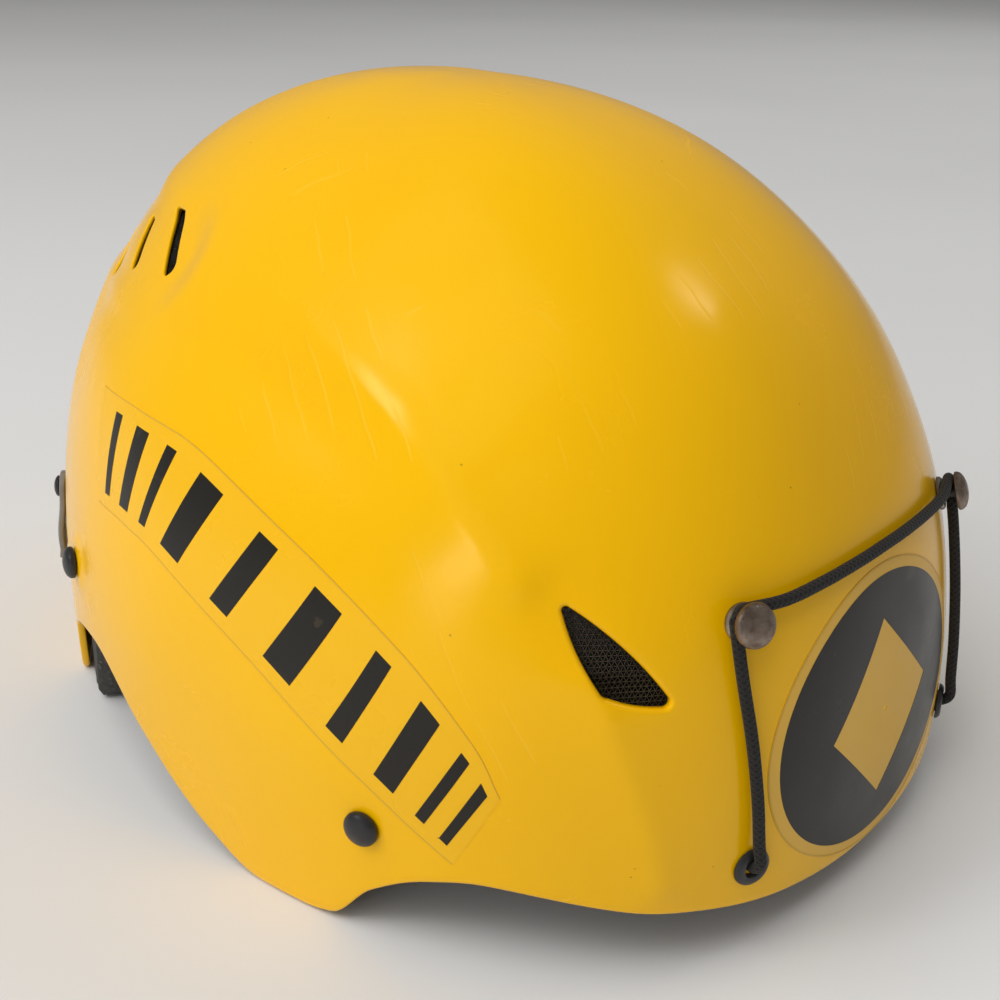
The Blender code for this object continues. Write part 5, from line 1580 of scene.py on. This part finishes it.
# ---------------------------------------------------------------- room, light and camera
def build_room():
    reach = 12.0
    verts = [(-reach, -reach, 0), (reach, -reach, 0), (reach, reach, 0), (-reach, reach, 0)]
    floor = add_mesh("table_top", verts, [[0, 1, 2, 3]], floor_material())
    floor.location.z = -0.0004
    world = bpy.data.worlds.new("room")
    bpy.context.scene.world = world
    world.use_nodes = True
    back = world.node_tree.nodes["Background"]
    back.inputs["Color"].default_value = (1.0, 0.99, 0.97, 1)
    back.inputs["Strength"].default_value = 0.24
    for name, place, target, size, power, colour in (
            ("key", (-1.15, 0.35, 2.20), (0, 0, 0.05), (2.4, 2.0), 41.5, (1.0, 0.985, 0.965)),
            ("left", (-1.90, -0.45, 0.80), (0, 0, 0.06), (1.3, 1.0), 7.0, (1.0, 0.99, 0.97)),
            ("right", (1.90, 0.10, 1.40), (0.70, 0.20, 0.0), (2.0, 2.0), 9.0, (1.0, 0.99, 0.97)),
            ("crest_glint", (-0.95, 0.36, 0.84), (-0.08, -0.04, 0.12), (0.30, 0.46), 2.0, (1.0, 1.0, 1.0)),
            ("brow_glint", (0.64, -0.54, 1.03), (-0.02, -0.09, 0.14), (0.12, 0.22), 0.45, (1.0, 1.0, 1.0)),
            ("side_glint", (-1.40, -0.12, 0.21), (-0.09, -0.07, 0.08), (0.16, 0.22), 0.45, (1.0, 1.0, 1.0))):
        lamp = bpy.data.lights.new(name, "AREA")
        lamp.shape = "RECTANGLE"
        lamp.size, lamp.size_y = size
        lamp.energy = power
        lamp.color = colour
        made = bpy.data.objects.new(name, lamp)
        made.visible_glossy = "glint" in name
        made.location = place
        made.rotation_euler = (Vector(place) - Vector(target)).to_track_quat("Z", "Y").to_euler()
        bpy.context.scene.collection.objects.link(made)
    bpy.context.scene.view_settings.view_transform = "Standard"


def build_camera():
    azimuth, elevation, roll = (math.radians(a) for a in (-49.27, 23.82, 1.47))
    target, distance = np.array((0.0163, -0.0015, 0.0516)), 0.4116
    back = np.array((math.sin(azimuth) * math.cos(elevation), -math.cos(azimuth) * math.cos(elevation),
                     math.sin(elevation)))
    level = np.array((math.cos(azimuth), math.sin(azimuth), 0))
    rise = np.cross(back, level)
    across = math.cos(roll) * level + math.sin(roll) * rise
    up = math.cos(roll) * rise - math.sin(roll) * level
    data = bpy.data.cameras.new("view")
    data.lens = 49.26
    data.sensor_width = 36.0
    data.clip_start = 0.02
    camera = bpy.data.objects.new("view", data)
    camera.matrix_world = frame_of(across, up, back, target + back * distance)
    bpy.context.scene.collection.objects.link(camera)
    bpy.context.scene.camera = camera


build_shell()
build_liner()
build_vent_nets()
build_side_decals()
build_front_decal()
build_rivets()
build_cord()
build_studs()
build_clips()
build_headband()
build_tails()
build_adjuster()
build_liner_pads()
build_harness()
build_buckle()
build_chin_strap()
build_strap_fittings()
build_chin_pad()
build_room()
build_camera()

bpy.context.view_layer.update()
